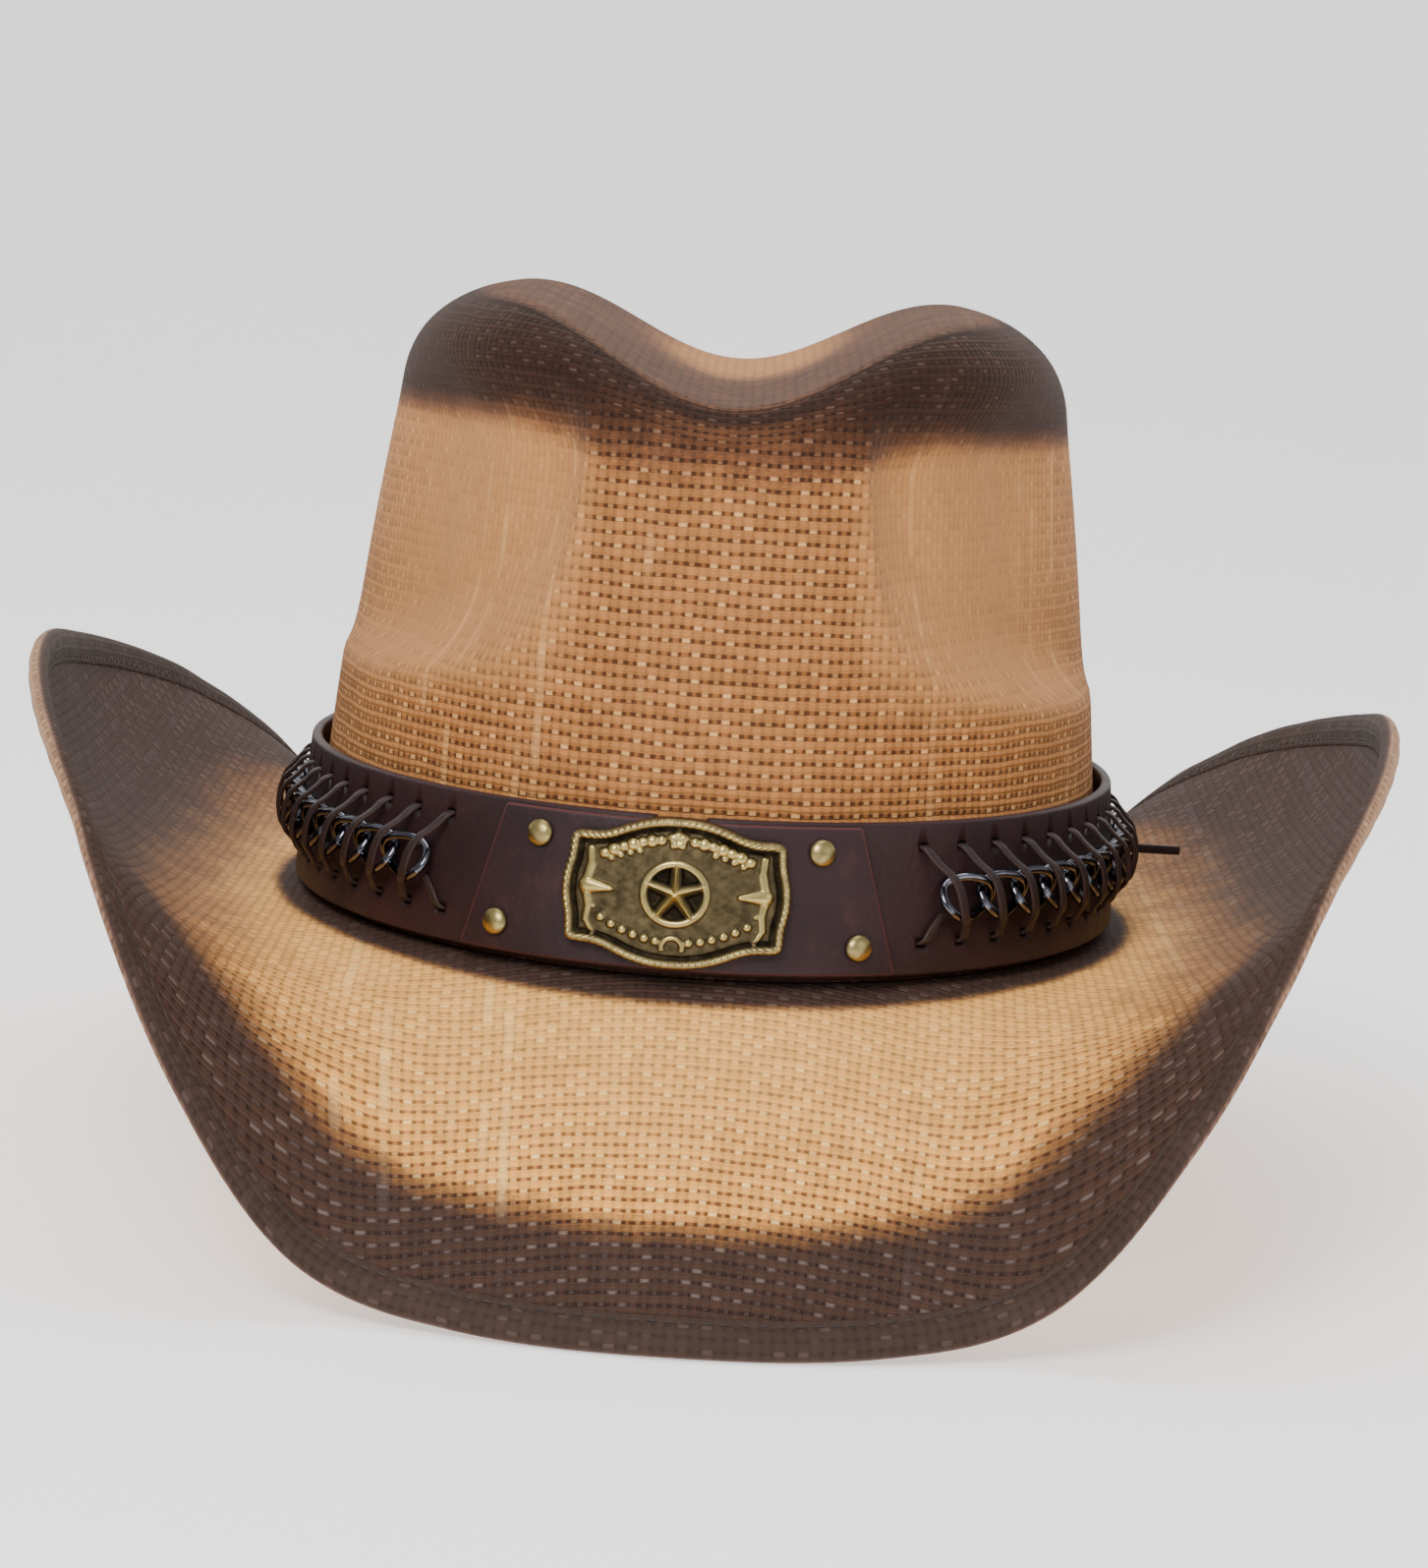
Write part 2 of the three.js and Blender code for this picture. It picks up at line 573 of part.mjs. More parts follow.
// One flat thong: up behind the strap, out of an upper hole, down across the chain and in at the next
// lower hole, again and again. On the right its end comes out once more and sticks out as a tail.
function laceRoute(side) {
  const route = [];
  const front = STRAP_OUTER + GAP + LACE_THICKNESS / 2;
  laceHoles(1).slice(0, -1).forEach((along) => {
    route.push(
      [along, LACE_LOW, LACE_BEHIND], [along, LACE_HIGH, LACE_BEHIND],
      [along, LACE_HIGH, front + 0.3], [along + 1.6, LACE_HIGH - 3, front + 2],
      [along + 4.6, CHAIN_CENTRE + 4, LACE_OVER], [along + 6.6, CHAIN_CENTRE - 3.5, LACE_OVER],
      [along + 9.2, LACE_LOW + 2.6, front + 1.6], [along + LACE_PITCH, LACE_LOW, front + 0.3],
    );
  });
  const last = LACE_START + STITCHES * LACE_PITCH;
  route.push([last, LACE_LOW, LACE_BEHIND]);
  if (side > 0) {
    const end = last + TAIL_STEP;
    route.push([end - 2.5, LACE_LOW + 2, LACE_BEHIND], [end, LACE_LOW + 2, LACE_BEHIND + 0.4],
      [end, LACE_LOW + 2, front + 1], [end, LACE_LOW + 1, front + TAIL_LENGTH]);
  } else {
    route.push([last, LACE_HIGH - 5, LACE_BEHIND]);
  }
  return route;
}

function lace(side) {
  const route = laceRoute(side).map((point) => new THREE.Vector3(...point));
  const ahead = route.map((point, i) => {
    const before = i ? point.clone().sub(route[i - 1]).normalize() : new THREE.Vector3();
    const after = i < route.length - 1 ? route[i + 1].clone().sub(point).normalize() : new THREE.Vector3();
    return before.add(after).normalize();
  });
  const wide = new THREE.Vector3(LACE_WIDTH / 2, 0, 0);
  const rows = route.map((point, i) => {
    const thick = new THREE.Vector3(0, -ahead[i].z, ahead[i].y).normalize();
    const bend = i && i < route.length - 1 ? route[i + 1].clone().sub(point).normalize().dot(ahead[i]) : 1;
    thick.multiplyScalar(LACE_THICKNESS / 2 / Math.max(bend, 0.7));
    return [[1, 1], [-1, 1], [-1, -1], [1, -1]].map(([across, up]) => {
      const corner = point.clone().addScaledVector(wide, across).addScaledVector(thick, up);
      return [side * corner.x, corner.y, corner.z];
    });
  });
  return wrap(loft(rows, false));
}

// ---------------------------------------------------------------- assembly
const hat = new THREE.Group();

function add(name, geometry, look) {
  const mesh = new THREE.Mesh(geometry, new THREE.MeshStandardMaterial(COLOURS[look]));
  mesh.name = name;
  hat.add(mesh);
}

add('crown', crown(), 'straw');
add('brim', brim(), 'straw');
add('brim_binding', brimBinding(), 'binding');
add('brim_wire', brimWire(), 'steel');
add('sweatband', sweatband(), 'sweatband');
add('hatband_strap', strap(), 'leather');
add('front_panel', frontPanel(), 'leather');
add('concho', concho(), 'brass');
add('concho_screw', conchoScrew(), 'steel');
for (const [name, place] of Object.entries(RIVETS)) add(name, rivet(place), 'brass');
for (const [name, side] of [['right', 1], ['left', -1]]) {
  add(`lace_${name}`, lace(side), 'thong');
  for (let i = 0; i < STITCHES; i += 1) {
    add(`chain_link_${name}_${i + 1}`, chainLink(side, i), 'gunmetal');
  }
}

// The origin is under the middle of the hat, on the surface that it stands on.
const bounds = new THREE.Box3().setFromObject(hat);
const middle = bounds.getCenter(new THREE.Vector3());
hat.position.set(-middle.x, -middle.y, -bounds.min.z);

export default hat;
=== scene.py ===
"""The looks of a shaped straw cowboy hat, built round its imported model.

Lengths are millimetres until a mesh is made. Heights are measured from the plane where the crown
meets the brim, the hat's front faces -Y, and angles are measured round the hat from its front.
"""
import math

import bpy
import numpy as np
from mathutils import Matrix, Vector


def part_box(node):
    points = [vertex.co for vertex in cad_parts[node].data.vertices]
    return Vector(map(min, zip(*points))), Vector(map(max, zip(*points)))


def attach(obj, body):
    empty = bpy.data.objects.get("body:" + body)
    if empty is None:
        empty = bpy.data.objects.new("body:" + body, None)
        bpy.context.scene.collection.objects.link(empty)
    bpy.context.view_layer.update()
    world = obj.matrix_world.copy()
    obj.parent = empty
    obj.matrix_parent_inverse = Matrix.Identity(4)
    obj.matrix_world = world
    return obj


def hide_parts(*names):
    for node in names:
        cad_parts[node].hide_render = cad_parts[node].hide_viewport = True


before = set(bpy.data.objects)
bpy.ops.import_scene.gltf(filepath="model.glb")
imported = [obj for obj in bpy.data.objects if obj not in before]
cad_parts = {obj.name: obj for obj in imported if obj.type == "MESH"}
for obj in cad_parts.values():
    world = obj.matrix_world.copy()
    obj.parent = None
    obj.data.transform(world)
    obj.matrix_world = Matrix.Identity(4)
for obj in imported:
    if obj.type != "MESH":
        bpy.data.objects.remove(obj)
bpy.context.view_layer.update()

# ------------------------------------------------------------------ dimensions shared with the model
MM = 0.001
GAP = 0.3
CROWN_HALF_WIDTH = 85
CROWN_HALF_LENGTH = 105
CROWN_HEIGHT = 128
CROWN_THICKNESS = 1.2
SIDE_TAPER = 0.187
END_TAPER = 0.17
SIDE_BOW = 2.2
SHOULDER_FRONT = 8
SHOULDER_SIDE = 21
SHOULDER_BACK = 14
CREASE_DEPTH = 17.5
RIDGE_SPACING = 49
RIDGE_CLIMB = 0.02
RIDGE_START = -80
PINCH_DEPTH = 13
PINCH_PANEL = 24
PINCH_FLOOR = 46
PINCH_EDGE = 15.5
PINCH_SPAN = 15
PINCH_TOP = (98, 122)
PINCH_SIDE = (60, 100)
FLATTENED = (-0.7, 0.45)            # where a dent's flattened cloth starts and is complete, in its span
BRIM_CHART = np.array([  # angle from the front, slope at the crown, slope at the edge, width
    (0, -28, -50, 87), (14, -26.5, -49.5, 87), (23, -25, -38, 87), (30, -23, 3, 87),
    (37, -21, 36, 87), (46, -18, 61, 86.5), (60, -13, 78, 86), (76, -10, 86, 85),
    (90, -8, 83, 83.5), (105, -8, 73, 83.5), (120, -8, 59, 84), (132, -9, 43, 85),
    (144, -12, 17, 86), (156, -20, -32, 87), (167, -26, -48, 87), (180, -28, -50, 87),
])
BRIM_THICKNESS = 1.4
WIRE_RADIUS = 0.7
SWEATBAND_THICKNESS = 1.2
SWEATBAND_TOP = 32
BAND_TURN = -4.5
BAND_BOTTOM = 1.8
BAND_TOP = 31.8
STRAP_INNER = 1.8
STRAP_OUTER = 4.0
STRAP_END_GAP = 10
PANEL_TOP_HALF = 36
PANEL_BOTTOM_HALF = 44
PANEL_THICKNESS = 1.6
PANEL_INNER = STRAP_OUTER + GAP
PANEL_OUTER = PANEL_INNER + PANEL_THICKNESS
SEAT = PANEL_OUTER + 0.05            # where the concho and the rivet heads sit, just off the panel
RIVET_RADIUS = 2.7
RIVETS = {
    "rivet_upper_left": (-27.5, 26.4), "rivet_upper_right": (27.5, 26.4),
    "rivet_lower_left": (-35.6, 8), "rivet_lower_right": (35.6, 8),
}
CONCHO_CENTRE = 17.5
LACE_START = 51
LACE_PITCH = 10
STITCHES = 14
LACE_LOW = 8
LACE_HIGH = 27
LACE_WIDTH = 2.0
LACE_THICKNESS = 0.8
LACE_BEHIND = 0.9
LACE_OVER = 9.5
HOLE_WIDTH = 2.7
HOLE_HEIGHT = 1.7
TAIL_STEP = 6
TAIL_LENGTH = 26                    # longer than the model's, so that it shows past the chain
CHAIN_CENTRE = 17
LINK_LENGTH = 14
LINK_HEIGHT = 10
LINK_WIRE = 0.9
LINK_TWIST = 1.25
LINK_OFFSET = 9.5
CHAIN_LIFT = STRAP_OUTER + GAP + LINK_TWIST + LINK_WIRE

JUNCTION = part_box("crown")[0].z / MM - GAP  # height of the junction plane above the floor

# ------------------------------------------------------------------ the cloth, its dye and its painted shade
COLUMN_PITCH = 2.15                 # spacing of the weave's columns and rows
ROW_PITCH = 2.5
CROWN_STAIN = (10, 26)              # below the crest: fully dyed down to the first, clear at the second
BRIM_STAIN_FRONT = (13, 33)         # the same, inwards from the brim's edge
BRIM_STAIN_SIDE = (14, 50)
BRIM_WASH_AND_SHADE = (30, 100)               # the paler wash of dye and painted shade over the turned up sides, inwards from the edge
WASH_AND_SHADE_STRENGTH = 0.86
VALLEY_SHIFT = 3                    # how far right of the middle the undyed floor of the top crease lies
INSIDE_DYE = 0.25                   # how much of the outside's dye shows inside the crown
UNDER_DYE = 0.45                    # and how much of the upper face's shows under the brim
TOP_CLOTH = 1.7                     # the crown's station where the top's cloth takes over from the wall's
TOP_SHIFT = (0, 60 * ROW_PITCH)     # keeps the top's cloth clear of the wall's


def srgb(red, green, blue):
    """A colour written in display values from 0 to 255, as linear RGBA."""
    def linear(value):
        value /= 255
        return value / 12.92 if value <= 0.04045 else ((value + 0.055) / 1.055) ** 2.4
    return (linear(red), linear(green), linear(blue), 1.0)


def mix(a, b, share):
    return a + (b - a) * share


def smooth(low, high, value):
    share = np.clip((value - low) / (high - low), 0, 1)
    return share * share * (3 - 2 * share)


# ------------------------------------------------------------------ camera
CAMERA_DISTANCE = 950
CAMERA_AZIMUTH = 0.35
CAMERA_HEIGHT = 157.2
CAMERA_HEADING = 0.3                # where it looks, turned from straight back
CAMERA_PITCH = 7.98
CAMERA_ROLL = 3.67
CAMERA_LENS = 101.0


def new_object(name, data):
    thing = bpy.data.objects.new(name, data)
    bpy.context.collection.objects.link(thing)
    return thing


def add_camera():
    azimuth, heading, pitch, roll = (
        math.radians(angle) for angle in (CAMERA_AZIMUTH, CAMERA_HEADING, CAMERA_PITCH, CAMERA_ROLL)
    )
    place = Vector((
        CAMERA_DISTANCE * math.sin(azimuth), -CAMERA_DISTANCE * math.cos(azimuth), CAMERA_HEIGHT + JUNCTION,
    ))
    camera = new_object("camera", bpy.data.cameras.new("camera"))
    camera.data.lens = CAMERA_LENS
    camera.data.clip_start = 0.01
    camera.matrix_world = (
        Matrix.Translation(place * MM) @ Matrix.Rotation(heading, 4, "Z")
        @ Matrix.Rotation(math.pi / 2 - pitch, 4, "X") @ Matrix.Rotation(roll, 4, "Z")
    )
    bpy.context.scene.camera = camera


add_camera()


# ------------------------------------------------------------------ points and meshes
def together(*coordinates):
    """Coordinates side by side on the last axis, each stretched to the same shape."""
    return np.stack(np.broadcast_arrays(*coordinates), -1)


def unit(vectors):
    return vectors / np.maximum(np.linalg.norm(vectors, axis=-1, keepdims=True), 1e-9)


def circle(count):
    turn = np.linspace(0, 2 * np.pi, count, endpoint=False)
    return together(np.cos(turn), np.sin(turn))


def sweep(middles, wide, high, section):
    """A flat section carried along a line, turned to the two directions given at each point."""
    return middles[:, None] + section[:, :1] * wide[:, None] + section[:, 1:] * high[:, None]


def run_along(points):
    """The distance from the first point to each, along the line through them."""
    return np.append(0, np.cumsum(np.linalg.norm(np.diff(points, axis=0), axis=-1)))


def grid_faces(rows, columns, close_rows=False, close_columns=False):
    """Four-sided faces between the points of a grid. Either way can close on itself."""
    row = np.arange(rows if close_rows else rows - 1)
    column = np.arange(columns if close_columns else columns - 1)
    row, column = (part.ravel() for part in np.meshgrid(row, column, indexing="ij"))
    below = (row + 1) % rows
    beside = (column + 1) % columns
    return np.stack([
        row * columns + column, below * columns + column, below * columns + beside, row * columns + beside,
    ], 1)


def grid_cloth(cloth):
    """Cloth coordinates at each corner of grid_faces, from an array one wider than what closes."""
    return np.stack([cloth[:-1, :-1], cloth[1:, :-1], cloth[1:, 1:], cloth[:-1, 1:]], 2).reshape(-1, 4, 2)


def tube_faces(rows, columns):
    """The faces of a tube of closed rows, with a lid on each end."""
    last = (rows - 1) * columns
    lids = np.array([np.arange(columns), np.arange(last, last + columns)[::-1]])
    return [grid_faces(rows, columns, close_columns=True), lids]


def fan_faces(ring, pole):
    return np.stack([ring, np.roll(ring, -1), np.full(len(ring), pole)], 1)


def signed_volume(points, face_sets):
    total = 0
    for faces in face_sets:
        first = points[faces[:, 0]]
        for k in range(1, faces.shape[1] - 1):
            total += (first * np.cross(points[faces[:, k]], points[faces[:, k + 1]])).sum()
    return total


def metres(points):
    return (points + (0, 0, JUNCTION)) * MM


def raw_mesh(name, points, face_sets):
    mesh = bpy.data.meshes.new(name)
    faces = [face for faces in face_sets for face in faces.tolist()]
    mesh.from_pydata(np.reshape(points, (-1, 3)).tolist(), [], faces)
    return mesh


def smooth_mesh(mesh, attributes):
    for key, values in attributes.items():
        mesh.attributes.new(key, "FLOAT", "POINT").data.foreach_set("value", np.ravel(values).astype(float))
    mesh.polygons.foreach_set("use_smooth", np.ones(len(mesh.polygons), bool))


def make_mesh(name, points, face_sets, cloths=None, **attributes):
    """A mesh with its faces pointing out. cloths gives the cloth coordinates of each face corner."""
    points = np.asarray(points, float).reshape(-1, 3)
    if signed_volume(points, face_sets) < 0:
        face_sets = [faces[:, ::-1] for faces in face_sets]
        cloths = cloths and [cloth[:, ::-1] for cloth in cloths]
    mesh = raw_mesh(name, metres(points), face_sets)
    if cloths:
        layer = mesh.uv_layers.new(name="cloth")
        layer.data.foreach_set("uv", np.concatenate([cloth.reshape(-1) for cloth in cloths]))
    smooth_mesh(mesh, attributes)
    return mesh


def ring_mesh(name, points, cloth=None, **attributes):
    """A ring that closes both ways. In each array, the first and the last column are the same place."""
    rows, columns = len(points), points.shape[1] - 1
    faces = grid_faces(rows, columns, close_rows=True, close_columns=True)
    cloths = None if cloth is None else [grid_cloth(np.concatenate([cloth, cloth[:1]]))]
    open_attributes = {key: values[:, :-1] for key, values in attributes.items()}
    return make_mesh(name, points[:, :-1], [faces], cloths, **open_attributes)


def tube_mesh(name, points, **attributes):
    """A tube drawn flat, in rows along it, with a lid on each end, put round the crown."""
    return make_mesh(name, wrap(points), tube_faces(*points.shape[:2]), **attributes)


def add_piece(mesh, material, body, slot, *replaced):
    mesh.materials.clear()
    mesh.materials.append(material)
    piece = new_object(mesh.name, mesh)
    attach(piece, body)
    if replaced:
        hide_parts(*replaced)


def rounded_rectangle(half_wide, half_high, radius, corner_steps=4, side_steps=3):
    """A closed outline round the origin, with points along its sides as well as its corners."""
    corners = []
    for quarter, (x, y) in enumerate([(1, 1), (-1, 1), (-1, -1), (1, -1)]):
        turn = (quarter + np.linspace(0, 1, corner_steps + 1)) * np.pi / 2
        centre = (x * (half_wide - radius), y * (half_high - radius))
        corners.append(centre + radius * np.stack([np.cos(turn), np.sin(turn)], -1))
    shares = np.linspace(0, 1, side_steps + 2)[1:-1, None]
    outline = []
    for corner, following in zip(corners, corners[1:] + corners[:1]):
        outline += [corner, mix(corner[-1], following[0], shares)]
    return np.concatenate(outline)


def round_corners(route, times=3):
    """An open route with its corners cut again and again, which keeps it inside the first one."""
    for _ in range(times):
        ahead = route[1:]
        here = route[:-1]
        cut = np.stack([mix(here, ahead, 0.25), mix(here, ahead, 0.75)], 1).reshape(-1, 3)
        route = np.concatenate([route[:1], cut, route[-1:]])
    return route


# ------------------------------------------------------------------ materials
class Field:
    """A node's output. Arithmetic on it makes further nodes."""

    def __init__(self, graph, socket):
        self.graph = graph
        self.socket = socket

    def __add__(self, other):
        return self.graph.math("ADD", self, other)

    def __sub__(self, other):
        return self.graph.math("SUBTRACT", self, other)

    def __mul__(self, other):
        return self.graph.math("MULTIPLY", self, other)

    def __truediv__(self, other):
        return self.graph.math("DIVIDE", self, other)


class Graph:
    """Short forms for building one material's nodes. They take fields and constants, and give fields."""

    def __init__(self, name):
        self.material = bpy.data.materials.new(name)
        self.material.use_nodes = True
        self.tree = self.material.node_tree

    def join(self, values, sockets):
        for key, value in values.items():
            if isinstance(value, Field):
                self.tree.links.new(value.socket, sockets[key])
            else:
                sockets[key].default_value = value

    def node(self, kind, inputs, output=0, **settings):
        """One output of a new node. Inputs and output go by name or number."""
        node = self.tree.nodes.new(kind)
        for key, value in settings.items():
            setattr(node, key, value)
        self.join(inputs, node.inputs)
        return Field(self, node.outputs[output])

    def math(self, operation, *values):
        return self.node("ShaderNodeMath", dict(enumerate(values)), operation=operation)

    def ramp(self, value, low, high, start=0.0, end=1.0):
        """start below low, end above high, with a smooth step between them."""
        inputs = {"Value": value, "From Min": low, "From Max": high, "To Min": start, "To Max": end}
        return self.node("ShaderNodeMapRange", inputs, interpolation_type="SMOOTHSTEP")

    def blend(self, share, first, second, mode="MIX"):
        return self.node(
            "ShaderNodeMix", {0: share, 6: first, 7: second}, 2, data_type="RGBA", blend_type=mode,
        )

    def attribute(self, name):
        return self.node("ShaderNodeAttribute", {}, "Fac", attribute_name=name)

    def place(self):
        return self.node("ShaderNodeTexCoord", {}, "Object")

    def cloth(self):
        """The cloth coordinates, together and one by one."""
        cloth = self.node("ShaderNodeUVMap", {}, uv_map="cloth")
        return cloth, *(self.node("ShaderNodeSeparateXYZ", {0: cloth}, axis) for axis in (0, 1))

    def noise(self, vector, scale, detail=2.0, roughness=0.5):
        inputs = {"Vector": vector, "Scale": scale, "Detail": detail, "Roughness": roughness}
        return self.node("ShaderNodeTexNoise", inputs, "Fac")

    def vector(self, *values):
        return self.node("ShaderNodeCombineXYZ", dict(enumerate(values)))

    def cell(self, x, y):
        """A random number for each whole place."""
        return self.node("ShaderNodeTexWhiteNoise", {"Vector": self.vector(x, y)}, noise_dimensions="2D")

    def bump(self, height, distance, strength):
        return self.node("ShaderNodeBump", {"Height": height, "Distance": distance, "Strength": strength})

    def finish(self, **inputs):
        shader = self.tree.nodes["Principled BSDF"]
        self.join({key.replace("_", " "): value for key, value in inputs.items()}, shader.inputs)
        return self.material


def straw_material(name, palette, contrast_floor, relief, wear):
    """Coarse woven paper straw. palette holds the colours of the crosswise yarn, of the lengthwise
    yarn where it lies over and where it lies under, of the holes, and of the dye. wear is how pale
    the raised yarns are rubbed in the dye. The mesh says how open the weave is, and how deep the dye and the
    painted shade."""
    graph = Graph(name)
    cross, over, under, hole, dye = (srgb(*colour) for colour in palette)
    cloth, along, up = graph.cloth()
    across = (graph.noise(cloth, 0.11) * 0.9 + along) / COLUMN_PITCH
    upward = (graph.noise(graph.vector(up, along), 0.07) * 1.1 + up) / ROW_PITCH
    column, row = (graph.math("FLOOR", field) for field in (across, upward))
    in_column, in_row = (graph.math("FRACT", field) for field in (across, upward))
    from_middle = graph.math("ABSOLUTE", in_column * 2.0 - 1.0)
    is_over = graph.math("FLOORED_MODULO", column + row, 2.0)
    chance = graph.cell(column, row)
    row_chance = graph.cell(row, 7.0)
    column_chance = graph.cell(column, 3.0)

    slot_mask = graph.ramp(in_row, 0.0, 0.09) * graph.ramp(in_row, 0.33, 0.44, 1.0, 0.0)
    width = chance * 0.34 + (is_over * 0.18 + 0.38)
    yarn_mask = graph.ramp(width - from_middle, -0.15, 0.22)
    bead = graph.blend(is_over * (chance * 0.75 + 0.25), under, over)
    colour = graph.blend(slot_mask, cross, graph.blend(yarn_mask, hole, bead))

    fibre = graph.noise(graph.vector(along * 0.35, up), 3.2, 3.0)
    blotch = graph.noise(cloth, 0.035, 3.0)
    patchy = graph.ramp(graph.noise(graph.vector(column, up * 0.06), 1.3), 0.42, 0.6)
    slub = graph.ramp(column_chance, 0.90, 0.98) * patchy
    contrast = graph.attribute("openness") * (1.0 - contrast_floor) + contrast_floor
    colour = graph.blend(contrast, graph.blend(0.45, cross, over), colour)
    colour = graph.blend(slub * 0.55, colour, over)
    # painted shade towards each column's edges between the yarns, with uneven tone per yarn, row and column
    uneven = graph.ramp(from_middle, 0.35, 1.0) * -0.24 + 0.06
    for field, amount in ((chance, 0.26), (row_chance, 0.12), (column_chance, 0.08), (fibre, 0.55)):
        uneven = (field - 0.5) * amount + uneven
    shade = uneven * (contrast * 0.75 + 0.25) + 1.0 + (blotch - 0.5) * 0.30
    colour = graph.blend(1.0, colour, graph.vector(shade, shade, shade), "MULTIPLY")

    rough_edge = (graph.noise(cloth, 0.09, 4.0, 0.6) - 0.5) * 0.30
    fine_edge = (graph.noise(cloth, 0.9, 3.0) - 0.5) * 0.25
    # the attribute holds the dye together with painted shadows under the band and painted shade on the
    # brim's sides, all drawn in the dye's colours
    stain = graph.ramp(graph.attribute("stain") + rough_edge + fine_edge, 0.02, 0.98)
    worn = is_over * slot_mask * graph.ramp(chance, 0.35, 1.0) * contrast * wear
    tint = tuple(dark / plain for dark, plain in zip(dye, cross))
    dyed = graph.blend(0.30, graph.blend(1.0, colour, tint, "MULTIPLY"), dye)
    dyed = graph.blend(worn, dyed, srgb(124, 106, 96))
    half_dyed = graph.blend(1.0, colour, srgb(172, 168, 192), "MULTIPLY")
    colour = graph.blend(graph.ramp(stain, 0.0, 0.5), colour, half_dyed)
    colour = graph.blend(graph.ramp(stain, 0.25, 0.95), colour, dyed)

    cross_dome = graph.math("SINE", graph.ramp(in_row, 0.36, 1.0) * math.pi)
    height = slot_mask * (yarn_mask * (is_over * 0.45 + 0.35)) + cross_dome * 0.75
    height = height + fibre * 0.35 - graph.ramp(from_middle, 0.3, 1.0) * 0.25
    return graph.finish(
        Base_Color=colour, Roughness=fibre * 0.2 + 0.62, Specular_IOR_Level=0.18,
        Normal=graph.bump(height, 0.45 * MM, contrast * relief),
    )


def leather_material(name, colour, edge_colour, grain_scale, roughness):
    """Smooth dyed leather: fine pebbled grain, faint mottling, and bare edges."""
    graph = Graph(name)
    bare = srgb(*edge_colour)
    place = graph.place()
    mottle = graph.noise(place, 55.0, 4.0, 0.6)
    streak = graph.noise(place, 210.0, 3.0, 0.6)
    grain = graph.node("ShaderNodeTexVoronoi", {"Vector": place, "Scale": grain_scale}, "Distance")
    fine = graph.noise(place, grain_scale * 1.9, 3.0)
    base = graph.blend(graph.ramp(mottle, 0.3, 0.75), srgb(*colour), srgb(*(0.72 * c for c in colour)))
    base = graph.blend(graph.ramp(streak, 0.5, 0.8) * 0.30, base, bare)
    base = graph.blend(graph.ramp(graph.attribute("edge"), 0.35, 1.0), base, bare)
    return graph.finish(
        Base_Color=base, Roughness=mottle * 0.22 + (roughness - 0.11), Specular_IOR_Level=0.28,
        Normal=graph.bump(fine * 0.5 + grain, 0.10 * MM, 0.55),
    )


def brass_material():
    """Cast brass, aged dark in its recesses and rubbed bright where it stands up."""
    graph = Graph("antique_brass")
    place = graph.place()
    rubbed = (graph.noise(place, 420.0, 4.0, 0.65) - 0.5) * 0.7 + graph.attribute("relief")
    base = graph.blend(graph.ramp(rubbed, -0.1, 0.62), srgb(30, 25, 19), srgb(112, 98, 70))
    base = graph.blend(graph.ramp(rubbed, 0.5, 1.1), base, srgb(190, 170, 108))
    return graph.finish(
        Metallic=1.0, Base_Color=base, Roughness=graph.ramp(rubbed, 0.1, 1.0, 0.62, 0.30),
        Normal=graph.bump(graph.noise(place, 1500.0, 3.0), 0.05 * MM, 0.5),
    )


def gunmetal_material():
    """Black plated wire, polished and slightly uneven."""
    graph = Graph("gunmetal")
    cloud = graph.noise(graph.place(), 300.0, 3.0)
    base = graph.blend(graph.ramp(cloud, 0.35, 0.8), srgb(84, 84, 92), srgb(136, 136, 146))
    return graph.finish(
        Metallic=1.0, Base_Color=base, Roughness=cloud * 0.10 + 0.10,
        Normal=graph.bump(cloud, 0.03 * MM, 0.3),
    )


def steel_material():
    graph = Graph("steel")
    brushed = graph.noise(graph.place(), 600.0, 3.0, 0.7)
    base = graph.blend(graph.ramp(brushed, 0.3, 0.7), srgb(150, 150, 152), srgb(186, 186, 188))
    return graph.finish(Metallic=1.0, Base_Color=base, Roughness=brushed * 0.2 + 0.25)


def webbing_material():
    """Ribbed cotton webbing: ribs stand across the band, with a finer yarn along it."""
    graph = Graph("sweatband_webbing")
    cloth, along, up = graph.cloth()
    rib = graph.math("SINE", along * (2 * math.pi / 1.1))
    yarn = graph.math("SINE", up * (2 * math.pi / 0.7))
    fuzz = graph.noise(cloth, 2.0, 3.0)
    wear = graph.ramp(graph.noise(cloth, 0.06, 3.0), 0.4, 0.75)
    base = graph.blend(graph.ramp(rib, -0.8, 0.8), srgb(26, 21, 20), srgb(58, 47, 43))
    base = graph.blend(wear * 0.35, base, srgb(74, 60, 54))
    return graph.finish(
        Base_Color=base, Roughness=0.85, Specular_IOR_Level=0.2,
        Normal=graph.bump(yarn * 0.35 + (rib + fuzz), 0.15 * MM, 0.7),
    )


def thread_material():
    graph = Graph("hem_thread")
    twist = graph.noise(graph.place(), 900.0)
    base = graph.blend(graph.ramp(twist, 0.3, 0.7), srgb(38, 27, 23), srgb(58, 43, 36))
    return graph.finish(Base_Color=base, Roughness=0.7, Normal=graph.bump(twist, 0.08 * MM, 0.6))


